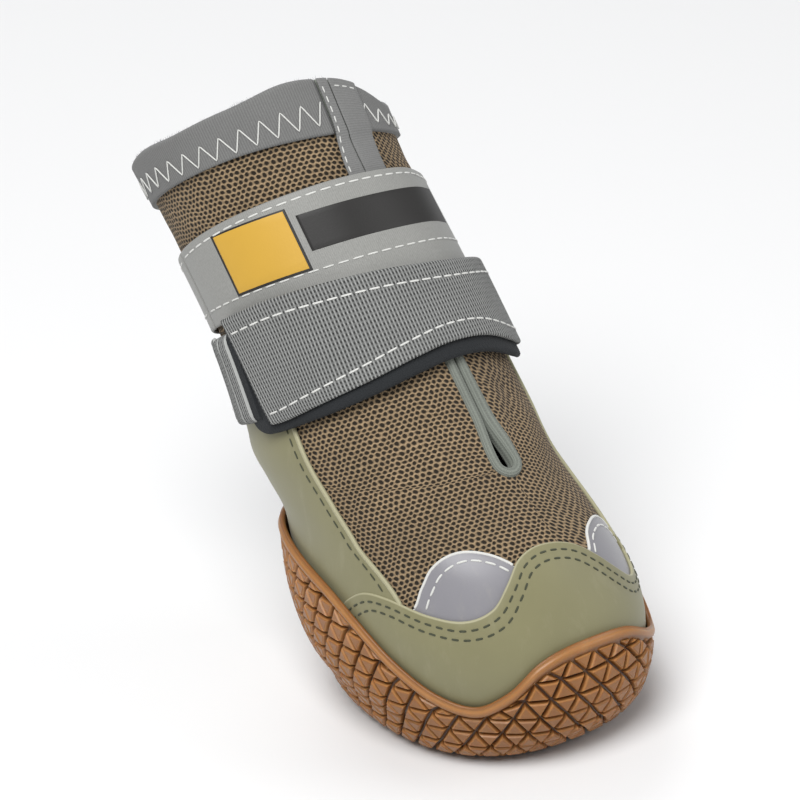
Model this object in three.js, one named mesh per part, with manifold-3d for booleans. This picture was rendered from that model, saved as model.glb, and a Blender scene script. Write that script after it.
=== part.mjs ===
// A dog boot: rubber cup sole, hollow spacer-mesh upper, synthetic toe rand and heel counter,
// bound collar and throat, a reflective shaft band and a webbing strap.
// Millimetres. +Z is up, the toe points along -Y and +X is on the right of someone facing the toe.
// The origin is the top of the middle tread lug, on the plane that the sole stands on.

import * as THREE from "three";
import { mergeVertices } from "three/addons/utils/BufferGeometryUtils.js";
import Module from "manifold-3d";

const wasm = await Module();
wasm.setup();

const DEG = Math.PI / 180;
const FULL_TURN = 2 * Math.PI;

// ---- driving dimensions ----

// Sections of the last, from the feather edge up to the collar: [name, front y, front z, back y,
// back z, half width, squareness, middle x, cant]. Each is a closed oval in a plane through its front
// and its back point. The cant is the rise of that plane for each millimetre towards -X.
const SECTIONS = [
  ["feather", -34.5, 6, 34, 6, 26, 2.25, 0, 0],
  ["cup", -39.2, 16, 40, 16, 30, 2.3, -0.7, 0.01],
  ["rim", -39.5, 28, 44, 31, 31, 2.3, -1.8, 0.04],
  ["toe_top", -32.5, 44, 49.5, 39.5, 29, 2.12, -2.8, 0.06],
  ["vamp", -19, 54.5, 54.5, 44, 28.6, 2.08, -3.2, 0.07],
  ["instep", -7, 64.5, 57, 46.5, 29.4, 2.05, -2.8, 0.08],
  ["ankle", 4.5, 76, 58, 50.5, 28.8, 2.05, -2.4, 0.085],
  ["strap", 17, 93, 64, 65.5, 28, 2, -3.1, 0.09],
  ["shaft", 28.5, 110, 75, 81, 27.5, 2, -4.6, 0.095],
  ["band", 35, 119.5, 82.5, 90.5, 27.5, 2, -5.4, 0.1],
  ["collar", 41.5, 131, 88, 98.5, 28, 2, -6.3, 0.1],
].map(([name, ...values]) => {
  const [frontY, frontZ, backY, backZ, halfWidth, square, middleX, cant] = values;
  return { name, frontY, frontZ, backY, backZ, halfWidth, square, middleX, cant };
});
const COLUMNS = Object.keys(SECTIONS[0]).slice(1);
const TOP_LEVEL = SECTIONS.length - 1;

// The soft collar droops on its +X side: above a level it is shortened round one turn.
const DROOP = { aboveLevel: 9, turn: -52, spread: 26, share: 0.42 };

const WALL = 1.8; // spacer mesh of the upper
const GAP = 0.4; // clearance between neighbouring pieces
const OVERLAY = 0.7; // synthetic rand and counter
const BINDING = 0.7; // folded binding tape

const SOLE = {
  footWall: 2.1, // cup wall where the bottom turns up
  wall: 2.8, // cup wall at its thickest
  rimWall: 1.4,
  taper: 1.1, // levels below the rim over which the wall thins
  floor: 5, // from the ground to the inside of the cup
  edgeHeight: 8.5,
  toeSpring: 2.2,
  heelSpring: 1.6,
};
// The bottom turning up into the wall: share of the outline, height, share of the toe or heel spring.
const BOTTOM_EDGE = [
  [0.74, 0, 0],
  [0.83, 0.5, 0.35],
  [0.91, 2, 0.7],
  [0.97, 4.8, 0.8],
];
const WALL_FOOT = { level: 0.45, top: 0.7 }; // levels between which the wall begins

// Height of the cup's wavy rim round the boot; the turn is 0 at the toe and 180 at the heel. On the
// +X side the rim rises a little later.
const RIM_LATER = 0.78;
const RIM = [
  { turn: 0, height: 28 },
  { turn: 17, height: 26.3 },
  { turn: 30, height: 20.8 },
  { turn: 41, height: 17.6 },
  { turn: 53, height: 19.8 },
  { turn: 65, height: 25 },
  { turn: 79, height: 31.7 },
  { turn: 94, height: 36 },
  { turn: 120, height: 38.5 },
  { turn: 150, height: 37.5 },
  { turn: 180, height: 37.5 },
];

// Scalloped top edge of the toe rand, as a level of the last at each signed turn.
const RAND_EDGE = [
  { turn: -92, level: 2.5 },
  { turn: -80, level: 2.5 },
  { turn: -68, level: 2.48 },
  { turn: -58, level: 2.3 },
  { turn: -50, level: 2.2 },
  { turn: -42, level: 2.3 },
  { turn: -34, level: 2.56 },
  { turn: -26, level: 2.84 },
  { turn: -17, level: 3.1 },
  { turn: -8, level: 3.23 },
  { turn: 2, level: 3.25 },
  { turn: 11, level: 3.13 },
  { turn: 19, level: 2.86 },
  { turn: 27, level: 2.6 },
  { turn: 38, level: 2.46 },
  { turn: 50, level: 2.48 },
  { turn: 64, level: 2.57 },
  { turn: 78, level: 2.52 },
  { turn: 92, level: 2.4 },
];
const RAND_END = 92; // turn where the rand runs out under the rim
const RAND_TOP = 3.4; // level above all the scallops
const OVERLAY_SPACING = 1; // turn left open between the rand's end and the counter
const COUNTER_FRONT = 70; // turn of the counter's front edge
const COUNTER_TOP = 6.35; // level, under the webbing strap
const TUCK_LEVEL = 0.9; // level where rand and counter end inside the cup

// Triangular lugs: three families of grooves at 60 degrees.
const TREAD = { lugPitch: 7.5, grooveWidth: 1.6, grooveDepth: 1.35, reach: 60 };

// The slit down the front: gaping at its lower end, closed towards the collar.
const SLIT = { low: 4.5, halfWidthLow: 1.6, halfWidthHigh: 0.6, closedAbove: 5.3 };
// Turn of the slit's centre line at some levels: it drifts round towards the collar.
const SLIT_LINE = [
  { level: 4, turn: -11.5 },
  { level: 5, turn: -10 },
  { level: 6, turn: -10.3 },
  { level: 8, turn: -10 },
  { level: 10, turn: -10.5 },
  { level: 10.6, turn: -10.8 },
];
const BINDING_WIDTH = 2.7;

const COLLAR_BAND = { low: 9.15, overTop: 0.1 };
const BAND_SCALE = 14; // millimetres of band per level
const INSOLE = { thickness: 2.4, inset: 1.2 };

const UPPER_STRAP = { from: 100, to: 458, low: 7.13, high: 8.1, arch: 0.18, thickness: 0.9 };
// Over the pad the reflective band reaches down behind the webbing.
const BAND_TUCK = { low: 6.92, from: 296, full: 300, until: 437, to: 441 };
const LOWER_STRAP = { from: 83.5, to: 441, thickness: 1.1 };
// Levels of the webbing's edges. Over the front it is drawn up at the slit and down at its free end.
const WEBBING_EDGES = [
  { turn: -70, low: 6, high: 7.05 },
  { turn: -50, low: 6.04, high: 7.05 },
  { turn: -27, low: 6.2, high: 7.06 },
  { turn: -8, low: 6.23, high: 7.09 },
  { turn: 10, low: 6.16, high: 7.13 },
  { turn: 30, low: 6.04, high: 7.16 },
  { turn: 56, low: 5.9, high: 7.19 },
  { turn: 81, low: 5.8, high: 7.17 },
];
const LOOP_PAD = { from: -62, to: 80, below: 0.16, high: 6.82, thickness: 1.3 };
const STRAP_RISE = { from: 276, to: 296 }; // turns between which the webbing climbs over the pad
const STRAP_ROOT = { thickness: 2.6, from: 101, to: 107 }; // folded and sewn root of the webbing

const TURN_STEP = 9; // degrees
const THROAT_STEP = 0.5; // levels
const UPPER_LEVELS = [0, 0.4, 0.8, 1.2, 1.6, 2, 2.5, 3, 3.5, 4, 5, 6, 7, 8, 9, 10];

// ---- the last ----

// Value of a table between its rows, on a Catmull-Rom curve through them.
function smoothAt(rows, key, value, x) {
  const last = rows.length - 1;
  if (x <= rows[0][key]) return rows[0][value];
  if (x >= rows[last][key]) return rows[last][value];
  const i = rows.findIndex((row) => row[key] > x) - 1;
  const span = rows[i + 1][key] - rows[i][key];
  const u = (x - rows[i][key]) / span;
  const slopeAt = (k) => {
    if (k === 0 || k === last) return 0;
    return (rows[k + 1][value] - rows[k - 1][value]) / (rows[k + 1][key] - rows[k - 1][key]);
  };
  const rise = rows[i + 1][value] - rows[i][value];
  const a = slopeAt(i) * span;
  const b = slopeAt(i + 1) * span;
  return rows[i][value] + u * a + u * u * (3 * rise - 2 * a - b) + u * u * u * (a + b - 2 * rise);
}

// The section at a level, between the rows by Catmull-Rom and straight on past the last row.
function sectionAt(level) {
  const i = Math.min(Math.max(Math.floor(level), 0), TOP_LEVEL - 1);
  const u = level - i;
  const section = {};
  for (const column of COLUMNS) {
    const p1 = SECTIONS[i][column];
    const p2 = SECTIONS[i + 1][column];
    const p0 = i > 0 ? SECTIONS[i - 1][column] : 2 * p1 - p2;
    const p3 = i + 2 <= TOP_LEVEL ? SECTIONS[i + 2][column] : 2 * p2 - p1;
    section[column] = u > 1 || u < 0
      ? (u > 1 ? p2 + (u - 1) * (p2 - p1) : p1 + u * (p2 - p1))
      : p1 + 0.5 * u * (p2 - p0 + u * (2 * p0 - 5 * p1 + 4 * p2 - p3 + u * (3 * (p1 - p2) + p3 - p0)));
  }
  return section;
}

// The level that the drooping collar really has at a turn.
function drooped(level, turn) {
  if (level <= DROOP.aboveLevel) return level;
  const away = (signedDegrees(turn) - DROOP.turn) / DROOP.spread;
  return DROOP.aboveLevel + (level - DROOP.aboveLevel) * (1 - DROOP.share * Math.exp(-away * away));
}

// A point of the last: the turn runs from the front (0) over -X (90 degrees) to the back (180).
function lastPoint(wantedLevel, turn) {
  const level = drooped(wantedLevel, turn);
  const s = sectionAt(level);
  const c = Math.cos(turn);
  const d = Math.sin(turn);
  const reach = (Math.abs(c) ** s.square + Math.abs(d) ** s.square) ** (-1 / s.square);
  const midY = (s.frontY + s.backY) / 2;
  const midZ = (s.frontZ + s.backZ) / 2;
  const aside = s.halfWidth * d * reach;
  return new THREE.Vector3(
    s.middleX - aside,
    midY + ((s.frontY - s.backY) / 2) * c * reach,
    midZ + ((s.frontZ - s.backZ) / 2) * c * reach + s.cant * aside,
  );
}

// A point at a distance from the last along its normal; positive is outwards.
function skinPoint(level, turn, offset) {
  const step = 0.002;
  const point = lastPoint(level, turn);
  const up = lastPoint(level + step, turn).sub(lastPoint(level - step, turn));
  const round = lastPoint(level, turn + step).sub(lastPoint(level, turn - step));
  const normal = up.cross(round).normalize();
  return point.addScaledVector(normal, offset);
}

function levelAtHeight(turn, height) {
  let low = 0;
  let high = TOP_LEVEL;
  for (let i = 0; i < 40; i += 1) {
    const middle = (low + high) / 2;
    if (lastPoint(middle, turn).z < height) low = middle;
    else high = middle;
  }
  return low;
}

// Turn in degrees from the toe, positive on the -X side.
function signedDegrees(turn) {
  return ((turn / DEG) % 360 + 540) % 360 - 180;
}

function rimHeight(turn) {
  const degrees = signedDegrees(turn);
  return smoothAt(RIM, "turn", "height", degrees < 0 ? -degrees * RIM_LATER : degrees);
}

const randEdge = (turn) => smoothAt(RAND_EDGE, "turn", "level", signedDegrees(turn));
const slitTurn = (level) => smoothAt(SLIT_LINE, "level", "turn", level) * DEG;

function slitHalfWidth(level) {
  const u = THREE.MathUtils.smoothstep(level, SLIT.low, SLIT.closedAbove);
  return THREE.MathUtils.lerp(SLIT.halfWidthLow, SLIT.halfWidthHigh, u);
}

// ---- building closed meshes ----

function stepsBetween(from, to, step) {
  const values = [from];
  for (let v = (Math.floor(from / step) + 1) * step; v < to - 0.15 * step; v += step) {
    if (v > from + 0.15 * step) values.push(v);
  }
  values.push(to);
  return values;
}

function geometryFrom(points, triangles) {
  const positions = new Float32Array(points.flatMap((p) => [p.x, p.y, p.z]));
  let geometry = new THREE.BufferGeometry();
  geometry.setAttribute("position", new THREE.BufferAttribute(positions, 3));
  geometry.setIndex(triangles.flat());
  geometry = mergeVertices(geometry, 1e-4);
  return facingOut(dropFlat(geometry));
}

// Removes triangles that have lost a corner where vertices were merged.
function dropFlat(geometry) {
  const index = Array.from(geometry.getIndex().array);
  const kept = [];
  for (let i = 0; i < index.length; i += 3) {
    const [a, b, c] = index.slice(i, i + 3);
    if (a !== b && b !== c && c !== a) kept.push(a, b, c);
  }
  geometry.setIndex(kept);
  return geometry;
}

// Turns every triangle round if the mesh encloses a negative volume.
function facingOut(geometry) {
  const index = Array.from(geometry.getIndex().array);
  const at = (i) => new THREE.Vector3().fromBufferAttribute(geometry.getAttribute("position"), i);
  let volume = 0;
  for (let i = 0; i < index.length; i += 3) {
    volume += at(index[i]).dot(at(index[i + 1]).cross(at(index[i + 2])));
  }
  if (volume < 0) {
    for (let i = 0; i < index.length; i += 3) [index[i], index[i + 1]] = [index[i + 1], index[i]];
    geometry.setIndex(index);
  }
  return geometry;
}

// Joins a row of equal polygons into a closed solid: a loop of them, or a row with a cap of the
// given triangles at each end.
function loft(polygons, cap) {
  const count = polygons[0].length;
  const closed = cap === undefined;
  const triangles = [];
  const rows = closed ? polygons.length : polygons.length - 1;
  for (let i = 0; i < rows; i += 1) {
    const here = i * count;
    const next = ((i + 1) % polygons.length) * count;
    for (let j = 0; j < count; j += 1) {
      const k = (j + 1) % count;
      triangles.push([here + j, next + j, next + k], [here + j, next + k, here + k]);
    }
  }
  if (!closed) {
    const far = (polygons.length - 1) * count;
    for (const [a, b, c] of cap) triangles.push([a, b, c], [far + a, far + c, far + b]);
  }
  return geometryFrom(polygons.flat(), facingOneWay(triangles, polygons.flat().length));
}

// Cap of a band whose polygon runs up its outside and back down its inside.
function stripCap(count) {
  const cap = [];
  for (let i = 0; i < count / 2 - 1; i += 1) {
    const opposite = count - 1 - i;
    cap.push([i, i + 1, opposite - 1], [i, opposite - 1, opposite]);
  }
  return cap;
}

// Cap of any other polygon, drawn flat.
function flatCap(outline) {
  const shape = outline.map(([x, y]) => new THREE.Vector2(x, y));
  return THREE.ShapeUtils.triangulateShape(shape, []);
}

// Turns single triangles round until every edge is used once each way.
function facingOneWay(triangles, vertexCount) {
  const edges = new Map();
  triangles.forEach((corners, t) => {
    for (let i = 0; i < 3; i += 1) {
      const [a, b] = [corners[i], corners[(i + 1) % 3]];
      const name = Math.min(a, b) * vertexCount + Math.max(a, b);
      if (!edges.has(name)) edges.set(name, []);
      edges.get(name).push(t);
    }
  });
  const runs = (t, a, b) => [0, 1, 2].some((i) => triangles[t][i] === a && triangles[t][(i + 1) % 3] === b);
  const seen = new Set([0]);
  const queue = [0];
  while (queue.length > 0) {
    const t = queue.pop();
    for (let i = 0; i < 3; i += 1) {
      const [a, b] = [triangles[t][i], triangles[t][(i + 1) % 3]];
      for (const other of edges.get(Math.min(a, b) * vertexCount + Math.max(a, b))) {
        if (seen.has(other)) continue;
        if (runs(other, a, b)) triangles[other].reverse();
        seen.add(other);
        queue.push(other);
      }
    }
  }
  return triangles;
}

function toManifold(geometry) {
  const mesh = new wasm.Mesh({
    numProp: 3,
    vertProperties: new Float32Array(geometry.getAttribute("position").array),
    triVerts: new Uint32Array(geometry.getIndex().array),
  });
  return new wasm.Manifold(mesh);
}

function fromManifold(solid) {
  const mesh = solid.getMesh();
  const geometry = new THREE.BufferGeometry();
  const positions = new Float32Array(mesh.vertProperties);
  geometry.setAttribute("position", new THREE.BufferAttribute(positions, 3));
  geometry.setIndex(Array.from(mesh.triVerts));
  return geometry;
}

// ---- pieces wrapped round the last ----

// A band between two turns whose edges and thickness may change on the way round. Its rows of
// levels keep their number, so the levels are spread evenly between the edges.
function wrappedBand({ from, to, low, high, inner, outer, rows }) {
  const turns = stepsBetween(from, to, TURN_STEP).map((degrees) => degrees * DEG);
  const share = (i) => i / (rows - 1);
  const polygons = turns.map((turn) => {
    const outside = [];
    const inside = [];
    for (let i = 0; i < rows; i += 1) {
      const level = THREE.MathUtils.lerp(low(turn), high(turn), share(i));
      outside.push(skinPoint(level, turn, outer(turn)));
      inside.unshift(skinPoint(level, turn, inner(turn)));
    }
    return outside.concat(inside);
  });
  return loft(polygons, stripCap(2 * rows));
}

const fixed = (value) => () => value;
const arched = (level, arch) => (turn) => level + arch * Math.cos(turn);

// ---- the slit ----

// A point beside the slit: across is measured in millimetres from its centre line.
function throatPoint(level, across, offset) {
  const turn = slitTurn(level) - across / sectionAt(level).halfWidth;
  return skinPoint(level, turn, offset);
}

const THROAT_SCALE = lastPoint(SLIT.low + 0.5, 0).distanceTo(lastPoint(SLIT.low - 0.5, 0));

// The path of one slit edge, widened by a margin: up one side, round the low end, up the other.
function slitPath(margin, top) {
  const path = [];
  const levels = stepsBetween(SLIT.low, top, THROAT_STEP);
  for (const level of levels.slice(1).reverse()) {
    path.push({ level, across: -(slitHalfWidth(level) + margin) });
  }
  const steps = 6;
  for (let i = 0; i <= steps; i += 1) {
    const angle = Math.PI * (i / steps);
    const radius = SLIT.halfWidthLow + margin;
    path.push({
      level: SLIT.low - (radius * Math.sin(angle)) / THROAT_SCALE,
      across: -radius * Math.cos(angle),
    });
  }
  for (const level of levels.slice(1)) path.push({ level, across: slitHalfWidth(level) + margin });
  return path;
}

function cutterQuad(level, left, right) {
  const reach = 6;
  return [
    throatPoint(level, left, -reach),
    throatPoint(level, right, -reach),
    throatPoint(level, right, reach),
    throatPoint(level, left, reach),
  ];
}

// The space that the slit and its binding take out of the upper.
function slitCutter(margin) {
  const path = slitPath(margin, TOP_LEVEL + 0.5);
  const half = (path.length - 1) / 2;
  const polygons = [];
  for (let i = 0; i < half; i += 1) {
    const left = path[i];
    const right = path[path.length - 1 - i];
    polygons.push(cutterQuad(left.level, left.across, right.across));
  }
  const lowest = path[half];
  const blunt = SLIT.halfWidthLow * 0.5;
  polygons.push(cutterQuad(lowest.level, -blunt, blunt));
  return loft(polygons, stripCap(4));
}

// ---- sub-parts ----

function upperShell() {
  const turns = stepsBetween(0, 360, TURN_STEP).slice(0, -1);
  const outside = UPPER_LEVELS.map((level) => [level, 0]);
  const inside = UPPER_LEVELS.map((level) => [level, -WALL]).reverse();
  const outline = outside.concat(inside);
  const polygons = turns.map((degrees) =>
    outline.map(([level, offset]) => skinPoint(level, degrees * DEG, offset)));
  const shell = toManifold(loft(polygons));
  const edgeOfMesh = BINDING + GAP;
  return fromManifold(shell.subtract(toManifold(slitCutter(edgeOfMesh))));
}

function throatBinding() {
  const outline = [
    [0, -WALL - GAP - BINDING],
    [BINDING_WIDTH, -WALL - GAP - BINDING],
    [BINDING_WIDTH, -WALL - GAP],
    [BINDING, -WALL - GAP],
    [BINDING, GAP],
    [BINDING_WIDTH, GAP],
    [BINDING_WIDTH, GAP + BINDING],
    [0, GAP + BINDING],
  ];
  const top = TOP_LEVEL + COLLAR_BAND.overTop;
  const paths = outline.map(([margin]) => slitPath(margin, top));
  const polygons = paths[0].map((_, i) =>
    outline.map(([, offset], j) => throatPoint(paths[j][i].level, paths[j][i].across, offset)));
  return loft(polygons, flatCap(outline));
}

// Binding folded over the top edge, from one side of the slit right round to the other.
function collarBand() {
  const inside = -WALL - GAP;
  const top = TOP_LEVEL + COLLAR_BAND.overTop;
  const fold = TOP_LEVEL + 0.035;
  const outline = [
    [COLLAR_BAND.low, GAP], [COLLAR_BAND.low, GAP + BINDING],
    [9.5, GAP + BINDING], [TOP_LEVEL, GAP + BINDING], [top, GAP + BINDING / 2],
    [top, inside - BINDING / 2], [TOP_LEVEL, inside - BINDING], [9.5, inside - BINDING],
    [COLLAR_BAND.low, inside - BINDING], [COLLAR_BAND.low, inside],
    [9.5, inside], [fold, inside], [fold, GAP], [9.5, GAP],
  ];
  const clear = BINDING_WIDTH + GAP;
  const steps = 34;
  const polygons = [];
  for (let i = 0; i <= steps; i += 1) {
    polygons.push(outline.map(([level, offset]) => {
      const half = (slitHalfWidth(level) + clear) / sectionAt(level).halfWidth;
      const turn = slitTurn(level) + THREE.MathUtils.lerp(half, FULL_TURN - half, i / steps);
      return skinPoint(level, turn, offset);
    }));
  }
  return loft(polygons, flatCap(outline.map(([level, offset]) => [level * BAND_SCALE, offset])));
}

// A sheet on the outside of the upper, with the same rows and columns as the upper.
function overlaySheet(from, to, high) {
  const inner = UPPER_LEVELS.filter((level) => level > TUCK_LEVEL && level < high);
  const levels = [TUCK_LEVEL, ...inner, high];
  const outline = [
    ...levels.map((level) => [level, GAP + OVERLAY]),
    ...levels.map((level) => [level, GAP]).reverse(),
  ];
  const polygons = stepsBetween(from, to, TURN_STEP).map((degrees) =>
    outline.map(([level, offset]) => skinPoint(level, degrees * DEG, offset)));
  return toManifold(loft(polygons, stripCap(outline.length)));
}

// A solid through the overlays between two edges, which trims them to their outline.
function overlayCutter(from, to, low, high) {
  const reach = 2;
  return toManifold(wrappedBand({
    from,
    to,
    low,
    high,
    inner: fixed(GAP - reach),
    outer: fixed(GAP + OVERLAY + reach),
    rows: 7,
  }));
}

// The rand's top edge is trimmed to its scallops.
function toeRand() {
  const above = 1;
  const sheet = overlaySheet(-RAND_END, RAND_END, RAND_TOP);
  const end = RAND_END + above;
  return fromManifold(
    sheet.subtract(overlayCutter(-end, end, randEdge, fixed(RAND_TOP + above))),
  );
}

// The counter is trimmed on each side where it meets the rand's edge and the rand's end.
function heelCounter() {
  const past = RAND_END + OVERLAY_SPACING;
  const before = COUNTER_FRONT - 4 * OVERLAY_SPACING;
  const edge = (turn) => randEdge(turn) + 0.04;
  return fromManifold(
    overlaySheet(COUNTER_FRONT, 360 - COUNTER_FRONT, COUNTER_TOP)
      .subtract(overlayCutter(before, past, fixed(0.3), edge))
      .subtract(overlayCutter(360 - past, 360 - before, fixed(0.3), edge)),
  );
}

const STRAP_OFFSET = GAP + BINDING + GAP;
const SOLE_INSIDE = GAP + OVERLAY + GAP;

function upperStrap() {
  const { from, to, low, high, arch, thickness } = UPPER_STRAP;
  const tucked = (turn) => {
    const down = THREE.MathUtils.smoothstep(turn / DEG, BAND_TUCK.from, BAND_TUCK.full);
    const up = THREE.MathUtils.smoothstep(turn / DEG, BAND_TUCK.until, BAND_TUCK.to);
    return THREE.MathUtils.lerp(low, BAND_TUCK.low, down - up);
  };
  return wrappedBand({
    from,
    to,
    low: tucked,
    high: arched(high, arch),
    inner: fixed(STRAP_OFFSET),
    outer: fixed(STRAP_OFFSET + thickness),
    rows: 4,
  });
}

// Level of one edge of the webbing, which goes once round and over its own root.
const webbingEdge = (edge) => (turn) =>
  smoothAt(WEBBING_EDGES, "turn", edge, (turn - FULL_TURN) / DEG);

// The webbing lies on the boot at its root and on the pad over the front.
function lowerStrap() {
  const { from, to, thickness } = LOWER_STRAP;
  const thicknessAt = (degrees) => THREE.MathUtils.lerp(
    STRAP_ROOT.thickness,
    thickness,
    THREE.MathUtils.smoothstep(degrees, STRAP_ROOT.from, STRAP_ROOT.to),
  );
  const climb = LOOP_PAD.thickness + GAP;
  const inner = (turn) =>
    STRAP_OFFSET + climb * THREE.MathUtils.smoothstep(turn / DEG, STRAP_RISE.from, STRAP_RISE.to);
  return wrappedBand({
    from,
    to,
    low: webbingEdge("low"),
    high: webbingEdge("high"),
    inner,
    outer: (turn) => inner(turn) + thicknessAt(turn / DEG),
    rows: 4,
  });
}

function loopPad() {
  const { from, to, below, high, thickness } = LOOP_PAD;
  const webbingLow = webbingEdge("low");
  return wrappedBand({
    from,
    to,
    low: (turn) => webbingLow(turn + FULL_TURN) - below,
    high: fixed(high),
    inner: fixed(STRAP_OFFSET),
    outer: fixed(STRAP_OFFSET + thickness),
    rows: 4,
  });
}

// Outside of the cup wall: it swells above its foot and thins towards the rim.
function wallOutside(level, rimLevel) {
  const swell = THREE.MathUtils.smoothstep(level, 0.3, 1.2);
  const thin = THREE.MathUtils.smoothstep(level, rimLevel - SOLE.taper, rimLevel);
  const wall = THREE.MathUtils.lerp(SOLE.footWall, SOLE.wall, swell);
  return SOLE_INSIDE + wall - (SOLE.wall - SOLE.rimWall) * thin;
}

// One slice of the cup sole from the flat of the bottom, up the wall and down inside.
function soleSlice(turn) {
  const rimLevel = levelAtHeight(turn, rimHeight(turn));
  const edge = skinPoint(WALL_FOOT.level, turn, SOLE_INSIDE + SOLE.footWall);
  const spring = (edge.y < 0 ? SOLE.toeSpring : SOLE.heelSpring) * Math.abs(Math.cos(turn)) ** 4;
  const slice = BOTTOM_EDGE.map(([share, height, lift]) =>
    new THREE.Vector3(edge.x * share, edge.y * share, height + spring * lift));
  slice.push(new THREE.Vector3(edge.x, edge.y, SOLE.edgeHeight - spring));
  const wallRows = 6;
  const belowRim = 0.07;
  for (let i = 0; i < wallRows; i += 1) {
    const level = THREE.MathUtils.lerp(WALL_FOOT.top, rimLevel - belowRim, i / (wallRows - 1));
    slice.push(skinPoint(level, turn, wallOutside(level, rimLevel)));
  }
  const chamfer = 0.5;
  slice.push(skinPoint(rimLevel, turn, wallOutside(rimLevel, rimLevel) - chamfer));
  slice.push(skinPoint(rimLevel, turn, SOLE_INSIDE));
  const innerRows = 9;
  for (let i = 1; i < innerRows; i += 1) {
    const level = THREE.MathUtils.lerp(rimLevel, 0, i / (innerRows - 1));
    slice.push(skinPoint(level, turn, SOLE_INSIDE));
  }
  const foot = slice[slice.length - 1];
  slice.push(new THREE.Vector3(foot.x, foot.y, SOLE.floor));
  return slice;
}

// Closes a ring of open slices with a point in the middle of the bottom and one on the floor.
function closedByPoles(slices, bottomPole, floorPole) {
  const count = slices[0].length;
  const points = slices.flat();
  const bottom = points.push(bottomPole) - 1;
  const floor = points.push(floorPole) - 1;
  const triangles = [];
  for (let i = 0; i < slices.length; i += 1) {
    const here = i * count;
    const next = ((i + 1) % slices.length) * count;
    triangles.push([bottom, here, next], [floor, next + count - 1, here + count - 1]);
    for (let j = 0; j < count - 1; j += 1) {
      triangles.push([here + j, here + j + 1, next + j + 1], [here + j, next + j + 1, next + j]);
    }
  }
  return geometryFrom(points, triangles);
}

// V-shaped grooves between rows of triangular lugs, in one of the three directions.
function grooves(direction) {
  const spacing = TREAD.lugPitch * Math.sin(60 * DEG);
  const below = 1;
  const mouth = (TREAD.grooveWidth / 2) * (1 + below / TREAD.grooveDepth);
  const outline = [[-mouth, -below], [mouth, -below], [0, TREAD.grooveDepth]];
  const axis = new THREE.Vector3(0, 0, 1);
  const count = Math.ceil(TREAD.reach / spacing);
  let family = null;
  for (let i = -count; i < count; i += 1) {
    // The middle of the middle lug is a third of a row away from the nearest groove.
    const shift = (i + 1 / 3) * spacing;
    const ends = [-TREAD.reach, TREAD.reach].map((x) =>
      outline.map(([y, z]) =>
        new THREE.Vector3(x, y + shift, z).applyAxisAngle(axis, direction * DEG)));
    const groove = toManifold(loft(ends, [[0, 1, 2]]));
    family = family === null ? groove : family.add(groove);
  }
  return family;
}

function outsole() {
  const slices = stepsBetween(0, 360, TURN_STEP)
    .slice(0, -1)
    .map((degrees) => soleSlice(degrees * DEG));
  const blank = closedByPoles(
    slices,
    new THREE.Vector3(0, 0, 0),
    new THREE.Vector3(0, 0, SOLE.floor),
  );
  let solid = toManifold(blank);
  for (const direction of [0, 120, 240]) solid = solid.subtract(grooves(direction));
  return fromManifold(solid);
}

// A flat board inside the feather edge of the upper.
function insole() {
  const low = SOLE.floor + GAP;
  const slices = stepsBetween(0, 360, TURN_STEP).slice(0, -1).map((degrees) => {
    const edge = skinPoint(0, degrees * DEG, -WALL - INSOLE.inset);
    return [low, low + INSOLE.thickness].map((z) => new THREE.Vector3(edge.x, edge.y, z));
  });
  return closedByPoles(
    slices,
    new THREE.Vector3(0, 0, low),
    new THREE.Vector3(0, 0, low + INSOLE.thickness),
  );
}

// ---- the boot ----

const FINISHES = {
  rubber: { color: 0x9a5f2c, roughness: 0.55, metalness: 0 },
  board: { color: 0x4a4640, roughness: 0.9, metalness: 0 },
  mesh: { color: 0x7d6c4d, roughness: 0.9, metalness: 0 },
  synthetic: { color: 0x8e8a68, roughness: 0.6, metalness: 0 },
  binding: { color: 0x85878a, roughness: 0.85, metalness: 0 },
  reflective: { color: 0x9a9a9e, roughness: 0.5, metalness: 0 },
  webbing: { color: 0x808284, roughness: 0.8, metalness: 0 },
  pile: { color: 0x3a3c3e, roughness: 0.95, metalness: 0 },
};

const PIECES = [
  { name: "outsole", finish: "rubber", geometry: outsole() },
  { name: "insole", finish: "board", geometry: insole() },
  { name: "upper", finish: "mesh", geometry: upperShell() },
  { name: "toe_rand", finish: "synthetic", geometry: toeRand() },
  { name: "heel_counter", finish: "synthetic", geometry: heelCounter() },
  { name: "collar_band", finish: "binding", geometry: collarBand() },
  { name: "throat_binding", finish: "binding", geometry: throatBinding() },
  { name: "upper_strap", finish: "reflective", geometry: upperStrap() },
  { name: "lower_strap", finish: "webbing", geometry: lowerStrap() },
  { name: "loop_pad", finish: "pile", geometry: loopPad() },
];

const boot = new THREE.Group();
for (const { name, finish, geometry } of PIECES) {
  const mesh = new THREE.Mesh(geometry, new THREE.MeshStandardMaterial(FINISHES[finish]));
  mesh.name = name;
  boot.add(mesh);
}

export default boot;
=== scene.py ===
"""The looks of a dog boot, laid out as a Blender add-on and run as a script.

Tables hold millimetres and are turned into metres when a mesh is made. A point of the boot is given by
a level of the last (0 at the feather edge, 10 at the collar) and a turn in degrees round it (0 at the
toe, 90 over -X, 180 at the back).
"""

import math

import bmesh
import bpy
import numpy as np
from bpy.props import FloatProperty, FloatVectorProperty, PointerProperty
from mathutils import Matrix, Vector


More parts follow.
